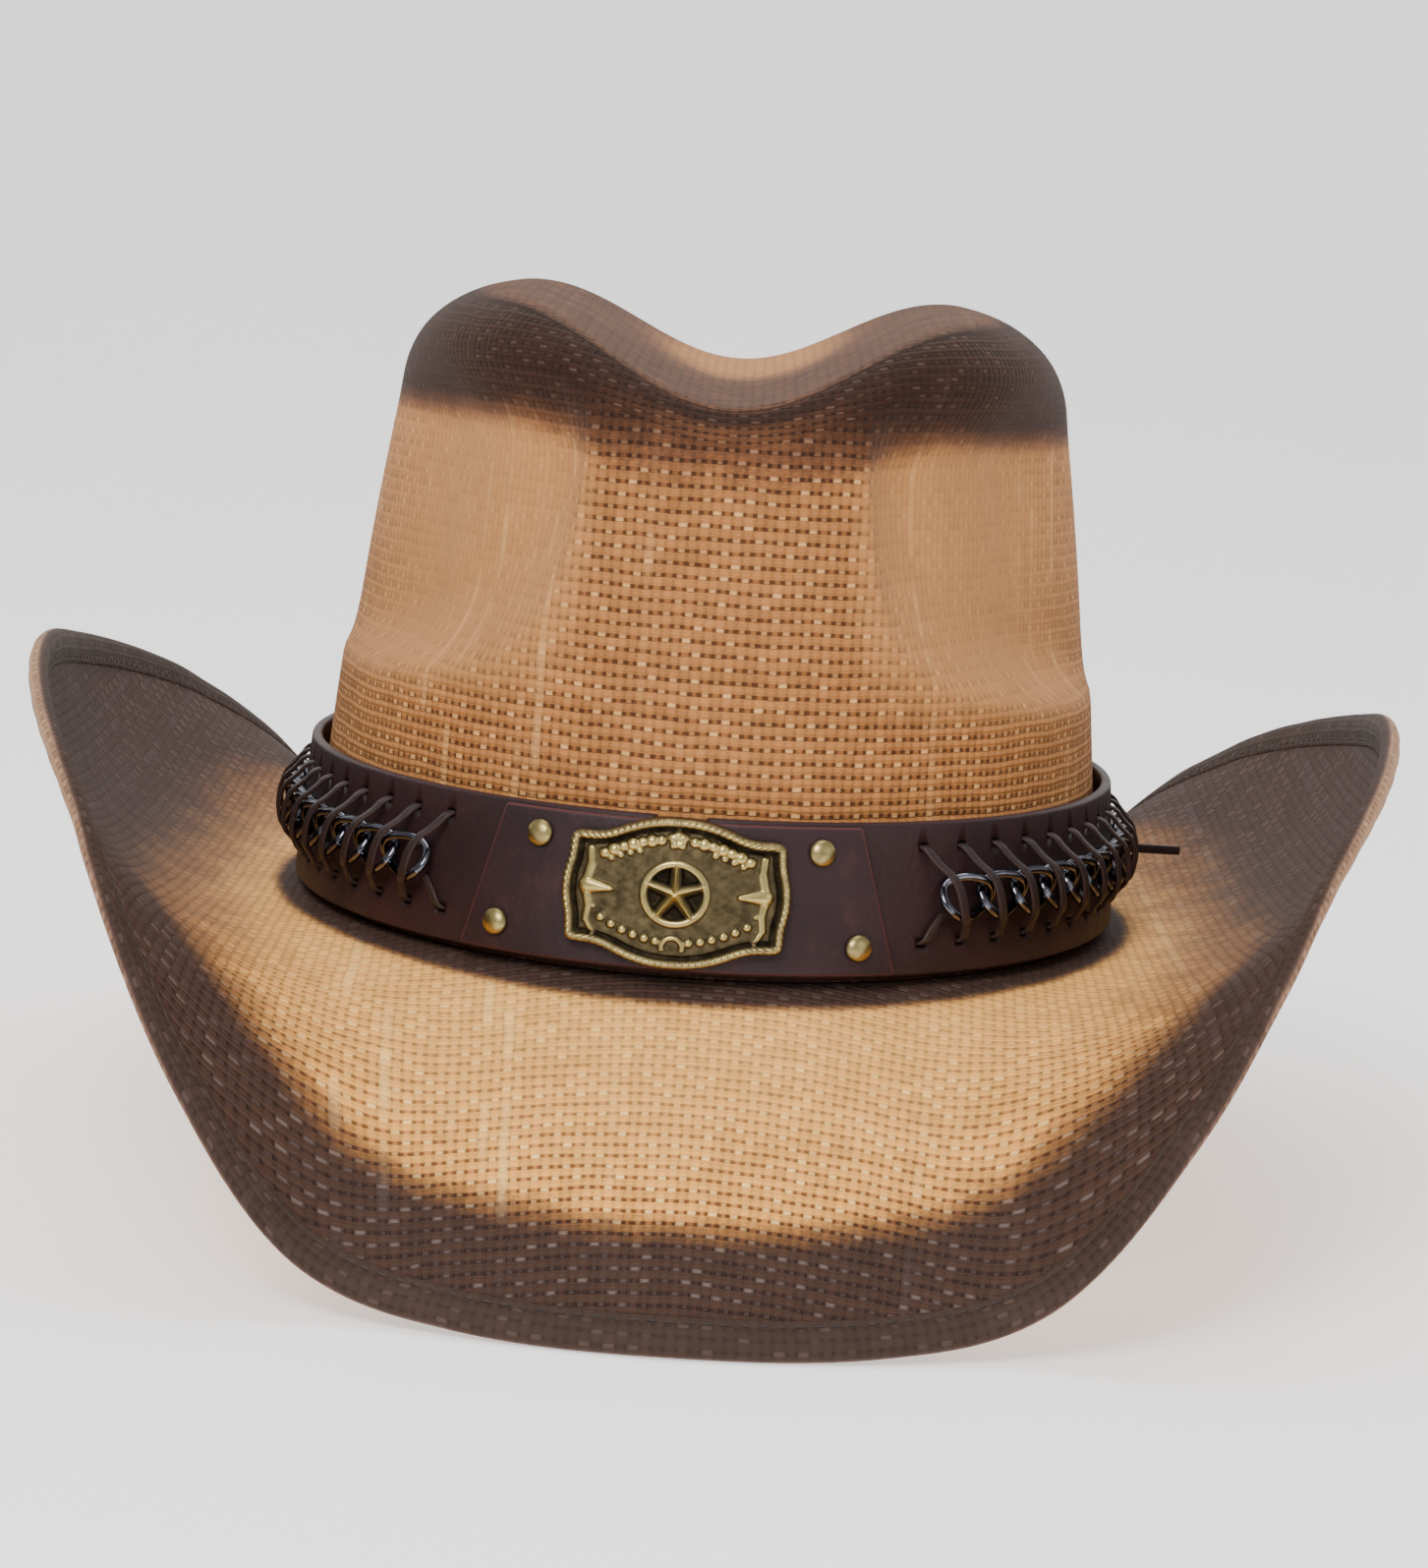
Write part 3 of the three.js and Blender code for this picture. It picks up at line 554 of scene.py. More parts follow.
CROWN_STRAW = straw_material("crown_straw", [
    (170, 112, 62), (204, 152, 96), (134, 84, 44), (90, 52, 26), (52, 29, 18),
], 0.10, 1.0, 0.16)
BRIM_STRAW = straw_material("brim_straw", [
    (240, 167, 80), (255, 207, 126), (188, 122, 62), (118, 68, 34), (68, 47, 37),
], 0.35, 1.0, 0.46)
HEM_STRAW = straw_material("hem_straw", [
    (164, 126, 94), (182, 146, 114), (138, 100, 72), (96, 66, 46), (60, 44, 36),
], 0.25, 0.7, 0.22)
STRAP_LEATHER = leather_material("strap_leather", (46, 26, 28), (54, 30, 31), 950.0, 0.54)
PANEL_LEATHER = leather_material("panel_leather", (45, 25, 28), (80, 42, 42), 950.0, 0.52)
THONG_LEATHER = leather_material("thong_leather", (44, 31, 30), (66, 46, 43), 1300.0, 0.52)
BRASS = brass_material()
GUNMETAL = gunmetal_material()
STEEL = steel_material()
WEBBING = webbing_material()
THREAD = thread_material()


# ------------------------------------------------------------------ crown
def wall_half_sizes(height):
    share = np.clip(height / CROWN_HEIGHT, 0, 1)
    return (CROWN_HALF_WIDTH * (1 - SIDE_TAPER * share) + SIDE_BOW * np.sin(np.pi * share),
            CROWN_HALF_LENGTH * (1 - END_TAPER * share))


def pinch_share(across, height, theta):
    """How far a front side dent is pressed in at a place, from 0 to 1, and how far the cloth is
    pressed flat there, which starts a little outside the dent."""
    reach = np.sqrt(np.maximum(across - PINCH_PANEL, 0) * np.maximum(height - PINCH_FLOOR, 0))
    inside = (reach - PINCH_EDGE) / PINCH_SPAN
    limits = (1 - smooth(*PINCH_TOP, height)) * (1 - smooth(*PINCH_SIDE, np.degrees(np.abs(theta))))
    return np.sin(np.pi / 2 * np.clip(inside, 0, 1)) * limits, smooth(*FLATTENED, inside) * limits


def crown_surface(theta, station, inset):
    """Points of the crown, with what the weave and the dye need to know about each.
    The station runs 0 to 1 up the wall, 1 to 2 round the shoulder and 2 to 3 in to the middle."""
    end_shoulder = mix(SHOULDER_FRONT, SHOULDER_BACK, smooth(0, 1, -np.cos(theta)))
    shoulder = mix(end_shoulder, SHOULDER_SIDE, np.sin(theta) ** 2) - inset
    top = CROWN_HEIGHT - inset
    turn = np.clip(station - 1, 0, 1) * np.pi / 2
    height = np.where(
        station < 1, mix(GAP, top - shoulder, station), top - shoulder + shoulder * np.sin(turn),
    )
    half_width, half_length = wall_half_sizes(height)
    inwards = inset + shoulder * (1 - np.cos(turn))
    shrink = 1 - np.clip(station - 2, 0, 1)
    x = (half_width - inwards) * shrink * np.sin(theta)
    y = -(half_length - inwards) * shrink * np.cos(theta)
    dent, pressed = pinch_share(np.abs(x), height, theta)
    pinch = 1 - PINCH_DEPTH * dent / np.maximum(np.hypot(x, y), 1)
    x = x * pinch
    y = y * pinch
    rise = smooth(0.25, 1, height / CROWN_HEIGHT)
    crease = np.cos(np.pi / 2 * np.clip(np.abs(x) / RIDGE_SPACING, 0, 1)) ** 2
    z = height - rise * (CREASE_DEPTH * crease - RIDGE_CLIMB * (y - RIDGE_START))
    crest = top - 0.35 * shoulder
    return together(x, y, z), height, crest - height, pressed


def crown_weave(theta, height):
    """Distance round the wall from the front, eased behind so that the columns meet at the back."""
    half_width, half_length = wall_half_sizes(height)
    between = (theta[:, 1:] + theta[:, :-1]) / 2
    speed = np.hypot(half_width[:, 1:] * np.cos(between), half_length[:, 1:] * np.sin(between))
    along = np.concatenate([np.zeros((len(theta), 1)), np.cumsum(speed * np.diff(theta), 1)], 1)
    along -= along[:, along.shape[1] // 2][:, None]
    pairs = round(along[len(along) // 4, -1] / COLUMN_PITCH)
    spare = pairs * COLUMN_PITCH - along[:, -1:]
    return along + np.sign(theta) * spare * smooth(0.45, 1, np.abs(theta) / np.pi)


def crown_looks(points, station, depth, pressed, theta):
    """How deep the dye and the painted shadow are at each place, and how open the weave."""
    x, y, z = np.moveaxis(points, -1, 0)
    on_top = smooth(1.6, 1.85, station)
    front = np.exp(-(x / 30) ** 2) * (np.abs(theta) < np.pi / 2)
    full, clear = CROWN_STAIN
    fade = 1 - smooth(full - 9 * front, clear + 6 * front, depth)
    lip = np.exp(-((station - 1.52) / 0.14) ** 2) * front
    # painted shadow on the wall's foot under the strap, drawn in the dye's colours
    foot_shadow = 1 - smooth(2, 5, z)
    wall = fade * (1 - 0.5 * front) + 0.45 * lip + foot_shadow
    valley = 1 - smooth(2, 32, np.abs(x - VALLEY_SHIFT))
    inside_lip = smooth(-25, 40, y) * (1 - smooth(58, 90, y))
    top = 0.58 - 0.58 * valley * inside_lip
    side = smooth(35, 75, np.degrees(np.abs(theta)))
    return mix(wall, top, on_top), (1 - 0.9 * pressed) * (1 - 0.45 * side) * (1 - 0.5 * on_top)


def crown_stations(wall, shoulder, top):
    last = 2.985                    # just off the middle, where a fan closes the top
    return np.concatenate([
        np.linspace(0, 1, wall)[:-1], np.linspace(1, 2, shoulder)[:-1], np.linspace(2, last, top),
    ])


def make_crown():
    columns = 440
    theta = np.linspace(-np.pi, np.pi, columns + 1)
    points, cloths, stains, opens = [], [], [], []
    for stations, inset, dye in (
        (crown_stations(52, 20, 34)[::-1], 0, 1), (crown_stations(22, 9, 12), CROWN_THICKNESS, INSIDE_DYE),
    ):
        angle, station = np.meshgrid(theta, stations)
        place, height, depth, pressed = crown_surface(angle, station, inset)
        stain, openness = crown_looks(place, station, depth, pressed, angle)
        wall = together(crown_weave(angle, height), place[..., 2] + 10 * np.clip(station - 1, 0, 1))
        cloths.append(np.where((station > TOP_CLOTH)[..., None], place[..., :2] + TOP_SHIFT, wall))
        points.append(place[:, :-1])
        stains.append(stain[:, :-1] * dye)
        opens.append(openness[:, :-1])
    points = np.concatenate(points)
    rings = grid_faces(len(points), columns, close_columns=True)
    count = len(points) * columns
    first_ring = np.arange(columns)
    last_ring = count - columns + first_ring
    fans = np.concatenate([fan_faces(first_ring, count), fan_faces(last_ring[::-1], count + 1)])
    everything = np.concatenate([points.reshape(-1, 3), [points[0].mean(0), points[-1].mean(0)]])
    mesh = make_mesh(
        "crown_cloth", everything, [rings, fans],
        [grid_cloth(np.concatenate(cloths)), everything[fans][..., :2] + TOP_SHIFT],
        stain=np.append(np.concatenate(stains), [0, 0]),
        openness=np.append(np.concatenate(opens), [0.5, 0.5]),
    )
    add_piece(mesh, CROWN_STRAW, "hat_body", "straw", "crown")


# ------------------------------------------------------------------ brim
def chart_value(angle, column):
    """Piecewise cubic through a chart column, level at the front and back centre lines."""
    angles, values = BRIM_CHART[:, 0], BRIM_CHART[:, column]
    slopes = np.zeros(len(angles))
    slopes[1:-1] = (values[2:] - values[:-2]) / (angles[2:] - angles[:-2])
    i = np.clip(np.searchsorted(angles, angle, "right") - 1, 0, len(angles) - 2)
    step = angles[i + 1] - angles[i]
    t = (angle - angles[i]) / step
    return ((2 * t ** 3 - 3 * t ** 2 + 1) * values[i] + (t ** 3 - 2 * t ** 2 + t) * step * slopes[i]
            + (3 * t ** 2 - 2 * t ** 3) * values[i + 1] + (t ** 3 - t ** 2) * step * slopes[i + 1])


def brim_frame(theta, share):
    """Points of the brim's upper face, the directions along the cloth, out of its face and away
    from the crown, and the places on the cloth when it lies flat."""
    angle = np.degrees(np.abs(theta))
    base = np.radians(chart_value(angle, 1))
    turn = np.radians(chart_value(angle, 2)) - base
    width = chart_value(angle, 3)
    slope = base + turn * share
    bend = np.where(np.abs(turn) < 1e-3, 1e-3, turn)
    run = width / bend * (np.sin(base + bend * share) - np.sin(base))
    rise = width / bend * (np.cos(base) - np.cos(base + bend * share))
    out = unit(together(np.sin(theta) / CROWN_HALF_WIDTH, -np.cos(theta) / CROWN_HALF_LENGTH, 0 * slope))
    root = together(CROWN_HALF_WIDTH * np.sin(theta), -CROWN_HALF_LENGTH * np.cos(theta), 0 * slope)
    point = root + out * run[..., None]
    point[..., 2] += rise
    along = out * np.cos(slope)[..., None]
    along[..., 2] += np.sin(slope)
    normal = out * -np.sin(slope)[..., None]
    normal[..., 2] += np.cos(slope)
    flat = (root + out * (width * share)[..., None])[..., :2]
    return point, along, normal, out, flat


def edge_points(theta, past, above):
    """Points at distances past the brim's edge, or before it if negative, and above its mid plane."""
    width = chart_value(np.degrees(np.abs(theta)), 3)
    point, along, normal, _, _ = brim_frame(theta, 1 + np.minimum(past, 0) / width)
    off_face = np.asarray(above - BRIM_THICKNESS / 2)
    return point + along * np.maximum(past, 0)[..., None] + normal * off_face[..., None]


def brim_stain(theta, from_edge):
    side = np.sin(theta) ** 2
    full = mix(BRIM_STAIN_FRONT[0], BRIM_STAIN_SIDE[0], side)
    clear = mix(BRIM_STAIN_FRONT[1], BRIM_STAIN_SIDE[1], side)
    dark = 1 - smooth(full, clear, from_edge)
    # the wash over the turned up sides is partly dye and partly painted shade
    wash_and_shade = WASH_AND_SHADE_STRENGTH * side * (1 - smooth(*BRIM_WASH_AND_SHADE, from_edge))
    return dark + (1 - dark) * wash_and_shade


def make_brim():
    columns = 480
    angle, share = np.meshgrid(np.linspace(-np.pi, np.pi, columns + 1), np.linspace(0, 1, 62))
    point, _, normal, out, flat = brim_frame(angle, share)
    flange = point[:1] - out[:1] * CROWN_THICKNESS
    flange[..., 2] = 0
    under_face = np.concatenate([flange - (0, 0, BRIM_THICKNESS), point - normal * BRIM_THICKNESS])
    width = chart_value(np.degrees(np.abs(angle)), 3)
    # painted shadow on the brim round the crown's foot, under the band
    band_shadow = 1 - smooth(0.05, 0.13, share)
    stain = np.maximum(brim_stain(angle, (1 - share) * width), band_shadow)
    openness = mix(0.25, 1.0, smooth(0.1, 0.8, share)) * mix(1.0, 0.55, np.sin(angle) ** 2)

    def both_faces(field, under):
        field = np.concatenate([field[:1], field])
        return np.concatenate([field, field[::-1] * under])

    mesh = ring_mesh(
        "brim_cloth", np.concatenate([flange, point, under_face[::-1]]), both_faces(flat, 1),
        stain=both_faces(stain, UNDER_DYE), openness=both_faces(openness, 0.9),
    )
    add_piece(mesh, BRIM_STRAW, "hat_body", "straw", "brim")


HEM_UPPER = np.array([              # the hem's upper half section: past the brim's edge, off its mid plane
    (-5.0, 0.74), (-4.9, 0.98), (-4.6, 1.18), (-4.1, 1.26), (-3.6, 1.22), (-3.1, 1.34), (-2.4, 1.62),
    (-1.4, 1.86), (-0.3, 2.0), (0.8, 1.97), (1.7, 1.72), (2.35, 1.25), (2.75, 0.66), (2.88, 0),
])
HEM_HOLLOW = np.array([             # and the hollow in it, where the cloth and the wire lie
    (-5.0, -0.72), (-0.1, -0.72), (0.05, -0.92), (1.95, -0.92),
    (1.95, 0.92), (0.05, 0.92), (-0.1, 0.72), (-5.0, 0.72),
])
HEM_COLUMNS = 720
WIRE_PAST = 1.0                     # the wire's middle, past the brim's edge
STITCH_PAST = -3.6                  # the dip in the hem where the stitches lie, and its height
STITCH_LEVEL = 1.24
STITCH_SHARE = 0.96                 # about the same dip, as a share of the brim's width


def round_the_edge(section):
    """A section past and above the brim's edge, carried round it: angles and both distances."""
    angle, past = np.meshgrid(np.linspace(-np.pi, np.pi, HEM_COLUMNS + 1), section[:, 0])
    return angle, past, np.broadcast_to(section[:, 1:], angle.shape)


def make_hem():
    section = np.concatenate([HEM_UPPER, HEM_UPPER[-2::-1] * (1, -1), HEM_HOLLOW])
    angle, past, above = round_the_edge(section)
    ripple = 1 + 0.035 * np.sin(angle * 61 + 2 * np.sin(angle * 7)) * (np.abs(above) > 1)
    point = edge_points(angle, past, above * ripple)
    cloth = np.stack(np.meshgrid(run_along(point[0]), run_along(section)), -1)
    front = np.cos(angle) ** 2
    stain = mix(mix(0.90, 1.0, front), mix(0.12, 0.45, front), smooth(1.4, -0.5, above))
    mesh = ring_mesh("brim_hem", point, cloth, stain=stain, openness=np.full(angle.shape, 0.45))
    add_piece(mesh, HEM_STRAW, "hat_body", "binding", "brim_binding")


def make_wire():
    """The steel wire that runs inside the hem and holds the brim's shape."""
    section = WIRE_RADIUS * circle(10) + (WIRE_PAST, 0)
    mesh = ring_mesh("brim_wire_steel", edge_points(*round_the_edge(section)))
    add_piece(mesh, STEEL, "hat_body", "steel", "brim_wire")


def make_hem_stitches():
    """A row of short thread stitches on each face of the hem, in the dip near its inner edge."""
    pitch, length, radius, sides = 3.4, 2.4, 0.28, 6
    shape = np.array([(-0.5, 0.15), (-0.42, 0.8), (0, 1.0), (0.42, 0.8), (0.5, 0.15)])
    size = radius * shape[:, 1:]
    theta = np.linspace(-np.pi, np.pi, 4000)
    points, quads, lids = [], [], []
    for level in (STITCH_LEVEL, -STITCH_LEVEL):
        run = run_along(edge_points(theta, STITCH_PAST, level))
        count = int(run[-1] / pitch)
        for centre in (np.arange(count) + 0.5) * run[-1] / count:
            at = np.interp(centre + shape[:, 0] * length, run, theta)
            middle = edge_points(at, STITCH_PAST, level)
            _, along, normal, _, _ = brim_frame(at, STITCH_SHARE)
            start = len(points) * len(shape) * sides
            points.append(sweep(middle, along * size, normal * size, circle(sides)))
            for faces, part in zip((quads, lids), tube_faces(len(shape), sides)):
                faces.append(part + start)
    mesh = make_mesh("hem_stitches", np.concatenate(points), [np.concatenate(quads), np.concatenate(lids)])
    add_piece(mesh, THREAD, "hat_body", "binding")


# ------------------------------------------------------------------ sweatband
def make_sweatband():
    columns = 360
    half_high = (SWEATBAND_TOP + BRIM_THICKNESS) / 2
    section = rounded_rectangle(half_high, SWEATBAND_THICKNESS / 2, 0.55, 4, 8)
    ups = section[:, 0] + half_high - BRIM_THICKNESS
    angle, up = np.meshgrid(np.linspace(-np.pi, np.pi, columns + 1), ups)
    inset = section[:, 1:] + CROWN_THICKNESS + GAP + SWEATBAND_THICKNESS / 2
    half_width, half_length = wall_half_sizes(up)
    point = together((half_width - inset) * np.sin(angle), -(half_length - inset) * np.cos(angle), up)
    cloth = together(angle * (CROWN_HALF_WIDTH + CROWN_HALF_LENGTH) / 2, up)
    add_piece(ring_mesh("sweatband_webbing", point, cloth), WEBBING, "hat_body", "sweatband", "sweatband")


# ------------------------------------------------------------------ hatband
LAP_STEPS = 720
lap_width, lap_length = (half + STRAP_OUTER for half in wall_half_sizes((BAND_BOTTOM + BAND_TOP) / 2))
lap_middles = (np.arange(LAP_STEPS) + 0.5) / LAP_STEPS * 2 * np.pi
lap_speeds = np.hypot(lap_width * np.cos(lap_middles), lap_length * np.sin(lap_middles))
lap_lengths = np.concatenate([[0], np.cumsum(lap_speeds) * 2 * np.pi / LAP_STEPS])
LAP = lap_lengths[-1]


def wrap(flat):
    """Points drawn flat, as along the band, height and distance out from the wall, put round the crown."""
    flat = np.asarray(flat, float)
    along, height, outwards = np.moveaxis(flat, -1, 0)
    theta = np.interp((along + BAND_TURN) % LAP, lap_lengths, np.linspace(0, 2 * np.pi, LAP_STEPS + 1))
    half_width, half_length = wall_half_sizes(height)
    out = unit(together(np.sin(theta) / half_width, -np.cos(theta) / half_length))
    return together(
        half_width * np.sin(theta) + out[..., 0] * outwards,
        -half_length * np.cos(theta) + out[..., 1] * outwards, height,
    )


def lace_hole_places():
    for i in range(STITCHES + 1):
        along = LACE_START + i * LACE_PITCH
        for place in (along, LAP - along):
            yield place, LACE_LOW
            yield place, LACE_HIGH
    yield LACE_START + STITCHES * LACE_PITCH + TAIL_STEP, LACE_LOW + 2


def punched(points, face_sets):
    """The flat strap with its lace holes punched through."""
    body = new_object("flat_strap", raw_mesh("flat_strap", points, face_sets))
    outline = rounded_rectangle(HOLE_WIDTH / 2, HOLE_HEIGHT / 2, HOLE_HEIGHT / 2 - 0.01, 4, 0)
    count = len(outline)
    holes, walls, ends = [], [], []
    for k, (along, height) in enumerate(lace_hole_places()):
        ring = [[along + x, height + y, out] for out in (0, 2 * STRAP_OUTER) for x, y in outline]
        start = k * 2 * count
        holes.append(ring)
        walls.append(grid_faces(2, count, close_columns=True)[:, ::-1] + start)
        ends += [np.arange(start, start + count)[::-1], np.arange(start + count, start + 2 * count)]
    hole_faces = [np.concatenate(walls), np.array(ends)]
    cutter = new_object("lace_holes", raw_mesh("lace_holes", holes, hole_faces))
    boolean = body.modifiers.new("holes", "BOOLEAN")
    boolean.operation = "DIFFERENCE"
    boolean.solver = "EXACT"
    boolean.object = cutter
    cut = bpy.data.meshes.new_from_object(body.evaluated_get(bpy.context.evaluated_depsgraph_get()))
    for thing in (body, cutter):
        bpy.data.objects.remove(thing)
    return cut


def make_strap():
    half_high = (BAND_TOP - BAND_BOTTOM) / 2
    half_thick = (STRAP_OUTER - STRAP_INNER) / 2
    section = rounded_rectangle(half_high, half_thick, 0.7, 4, 7)
    middle = (BAND_BOTTOM + half_high, STRAP_INNER + half_thick)
    along = np.linspace(STRAP_END_GAP / 2, LAP - STRAP_END_GAP / 2, 520)
    points = together(along[:, None], *(section + middle).T)
    faces = tube_faces(*points.shape[:2])
    if signed_volume(points.reshape(-1, 3), faces) < 0:
        faces = [part[:, ::-1] for part in faces]
    mesh = punched(points, faces)
    mesh.name = "strap_leather"
    flat = np.array([vertex.co for vertex in mesh.vertices])
    mesh.vertices.foreach_set("co", metres(wrap(flat)).ravel())
    smooth_mesh(mesh, {"edge": 0.8 * smooth(half_high - 0.9, half_high, np.abs(flat[:, 1] - middle[0]))})
    add_piece(mesh, STRAP_LEATHER, "hatband", "leather", "hatband_strap")


def make_panel():
    """The trapezoid of leather under the concho, with all its edges rounded."""
    margin = 0.6
    rounding = 0.7
    low, high = BAND_BOTTOM + margin, BAND_TOP - margin
    half_high = (high - low) / 2
    half_thick = PANEL_THICKNESS / 2
    section = rounded_rectangle(half_high, half_thick, rounding, 4, 8)
    near_edge = smooth(half_high - 0.9, half_high, np.abs(section[:, 0]))
    points, edge = [], []

    def add_row(share, from_end, inset):
        up = low + half_high + section[:, 0] * (1 - inset / half_high)
        out = (PANEL_INNER + PANEL_OUTER) / 2 + section[:, 1] * (1 - inset / half_thick)
        half = mix(PANEL_BOTTOM_HALF, PANEL_TOP_HALF, (up - low) / (high - low))
        points.append(together(share * half - math.copysign(from_end, share), up, out))
        near_end = 1 - smooth(0.3, 1.1, (1 - abs(share)) * PANEL_BOTTOM_HALF + from_end)
        edge.append(np.maximum(near_end, near_edge))

    turns = np.linspace(0, np.pi / 2, 6)
    end_rows = list(zip(rounding * (1 - np.cos(turns)), rounding * (1 - np.sin(turns))))
    for from_end, inset in end_rows:
        add_row(-1, from_end, inset)
    for share in np.linspace(-1, 1, 70)[1:-1]:
        add_row(share, 0, 0)
    for from_end, inset in end_rows[::-1]:
        add_row(1, from_end, inset)
    mesh = tube_mesh("front_panel_leather", np.array(points), edge=np.concatenate(edge))
    add_piece(mesh, PANEL_LEATHER, "hatband", "leather", "front_panel")


def make_rivet(name, centre):
    """A domed cap over a shank that goes through the panel and the strap."""
    profile = [(0.3, STRAP_INNER), (1.0, STRAP_INNER), (1.0, SEAT), (2.4, SEAT), (2.62, SEAT + 0.06)]
    profile += [
        (RIVET_RADIUS * math.cos(turn), SEAT + 0.3 + 1.55 * math.sin(turn))
        for turn in np.linspace(0, 1.48, 12)
    ]
    radius, out = np.array(profile).T[..., None]
    x, y = circle(32).T
    points = together(centre[0] + radius * x, centre[1] + radius * y, out)
    mesh = tube_mesh(name + "_cap", points, relief=0.8 * smooth(SEAT - 0.3, SEAT + 1.2, points[..., 2]))
    add_piece(mesh, BRASS, "hatband", "brass", name)


# ------------------------------------------------------------------ concho
CONCHO_QUARTER = np.array([         # a quarter of the outline, from the top centre to the right end
    (0, 14.6), (3.5, 14.45), (7, 13.7), (10, 12.6), (12.5, 11.5), (15, 10.9), (17.5, 10.9),
    (19.4, 10.7), (20.3, 9.7), (20.4, 8), (20.5, 6), (21.0, 4), (21.4, 2), (21.5, 0),
])
CONCHO_FLOOR = 1.6                  # heights above the concho's back
CONCHO_RIM = 2.75
CONCHO_RING = 5.8                   # radius of the ring round the star, and half its width
RING_HALF_WIDTH = 0.8
ROPE_WIDTH = 1.9                    # the rope along the rim
GROOVE = (2.3, 0.4)                 # where the groove beside it lies, in from the edge, and its half width


def concho_outline(count):
    """Evenly spaced points round the concho, smooth through the chosen ones."""
    half = np.concatenate([CONCHO_QUARTER[:-1], CONCHO_QUARTER[:0:-1] * (1, -1)])
    corners = np.concatenate([half, -half])
    for _ in range(4):
        ahead = np.roll(corners, -1, 0)
        corners = np.stack([mix(corners, ahead, 0.25), mix(corners, ahead, 0.75)], 1).reshape(-1, 2)
    closed = np.concatenate([corners, corners[:1]])
    run = run_along(closed)
    at = np.linspace(0, run[-1], count, endpoint=False)
    return together(np.interp(at, run, closed[:, 0]), np.interp(at, run, closed[:, 1])), at


def segment_distance(x, y, start, end):
    start, end = np.array(start, float), np.array(end, float)
    step = end - start
    share = np.clip(((x - start[0]) * step[0] + (y - start[1]) * step[1]) / (step @ step), 0, 1)
    return np.hypot(x - start[0] - share * step[0], y - start[1] - share * step[1]), share


def ridge(distance, half_wide, height):
    """A rounded ridge: its height falls off with the distance from its middle line."""
    return height * np.sqrt(np.clip(1 - (distance / half_wide) ** 2, 0, 1))


def star_relief(x, y):
    """A ring with five ridged arms, over a sunk ground."""
    radius = np.hypot(x, y)
    from_ring = radius - CONCHO_RING
    relief = -0.8 * smooth(CONCHO_RING - 0.3, CONCHO_RING - 1.0, radius)
    relief = np.where(np.abs(from_ring) < RING_HALF_WIDTH, ridge(from_ring, RING_HALF_WIDTH, 0.7), relief)
    for arm in range(5):
        turn = arm * 2 * math.pi / 5
        tip = (CONCHO_RING * math.sin(turn), CONCHO_RING * math.cos(turn))
        distance, share = segment_distance(x, y, (0, 0), tip)
        relief = np.maximum(relief, 1.3 * (1 - distance / (1.1 - 0.4 * share)) * (1 - 0.3 * share))
    return relief


def steer_relief(x, y, side):
    """A steer's head seen from above: two long horns, and a head that tapers inwards."""
    relief = np.zeros(x.shape)
    horn = [(14.9, -8.6), (16.3, -6.2), (16.0, -3.2), (16.5, -1.0), (16.5, 1.6), (15.9, 4.4), (16.2, 7.4)]
    for start, end in zip(horn, horn[1:]):
        thickness = 1.1 - 0.05 * abs(start[1])
        distance, _ = segment_distance(x * side, y, start, end)
        relief = np.maximum(relief, ridge(distance, thickness, 0.75))
    distance, share = segment_distance(x * side, y, (16.4, 0.3), (11.9, 0.1))
    return np.maximum(relief, ridge(distance, 1.75 - 1.1 * share, 1.1))


def bead_places():
    """Beads and scrolls of the two garlands: place and radius."""
    for side in (-1, 1):
        for step in range(7):
            across = 3.1 + step * 1.75
            upper = 10.3 - 0.019 * across ** 2
            yield side * across, upper, 1.35 if step % 2 else 1.1
            if 1 < step < 6:
                yield side * (across + 0.4), upper - 1.6, 0.8
        for step in range(6):
            across = 3.0 + step * 2.1
            yield side * across, -9.4 + 0.021 * across ** 2, 0.95
        yield side * 15.0, -3.6, 0.6


def concho_relief(x, y, to_edge, round_edge):
    """Heights above the concho's back, and how bright the metal is rubbed."""
    groove = np.exp(-((to_edge - GROOVE[0]) / GROOVE[1]) ** 2)
    floor = CONCHO_FLOOR + 0.35 * np.clip(1 - (x / 20) ** 2 - (y / 14) ** 2, 0, 1) - 0.4 * groove
    raised = np.maximum(steer_relief(x, y, -1), steer_relief(x, y, 1))
    for across, up, radius in bead_places():
        raised = np.maximum(raised, ridge(np.hypot(x - across, y - up), radius, 0.7 * radius + 0.2))
    from_rosette = np.hypot(x, y - 10.4)
    petals = 2.0 + 0.25 * np.cos(5 * np.arctan2(x, y - 10.4))
    raised = np.maximum(raised, ridge(from_rosette, petals, 1.0) - 0.45 * np.exp(-(from_rosette / 0.6) ** 2))
    arch = np.abs(np.hypot(x, y + 10.3) - 1.9)
    raised = np.maximum(raised, ridge(arch, 0.6, 0.7) * (y > -11.0))
    ripple = 0.04 * np.sin(x * 2.1 + 1.3 * np.sin(y * 1.9)) * np.sin(y * 1.7)
    ground = np.where(raised > 0, raised, ripple)
    inside = np.where(np.hypot(x, y) < CONCHO_RING + RING_HALF_WIDTH, star_relief(x, y), ground)
    lay = 1 + 0.06 * np.sin(round_edge * 2 * np.pi / 1.3 + to_edge * 2.2)
    rope = ridge(to_edge - ROPE_WIDTH / 2, ROPE_WIDTH / 2, 1.0) * lay
    on_rim = to_edge < ROPE_WIDTH
    rim = np.maximum(mix(CONCHO_FLOOR * 0.85, CONCHO_RIM, rope), 0.9)
    bright = smooth(-0.5, 1.0, np.where(on_rim, rope * 0.55, inside) - 0.45 * groove)
    return np.where(on_rim, rim, floor + inside), bright


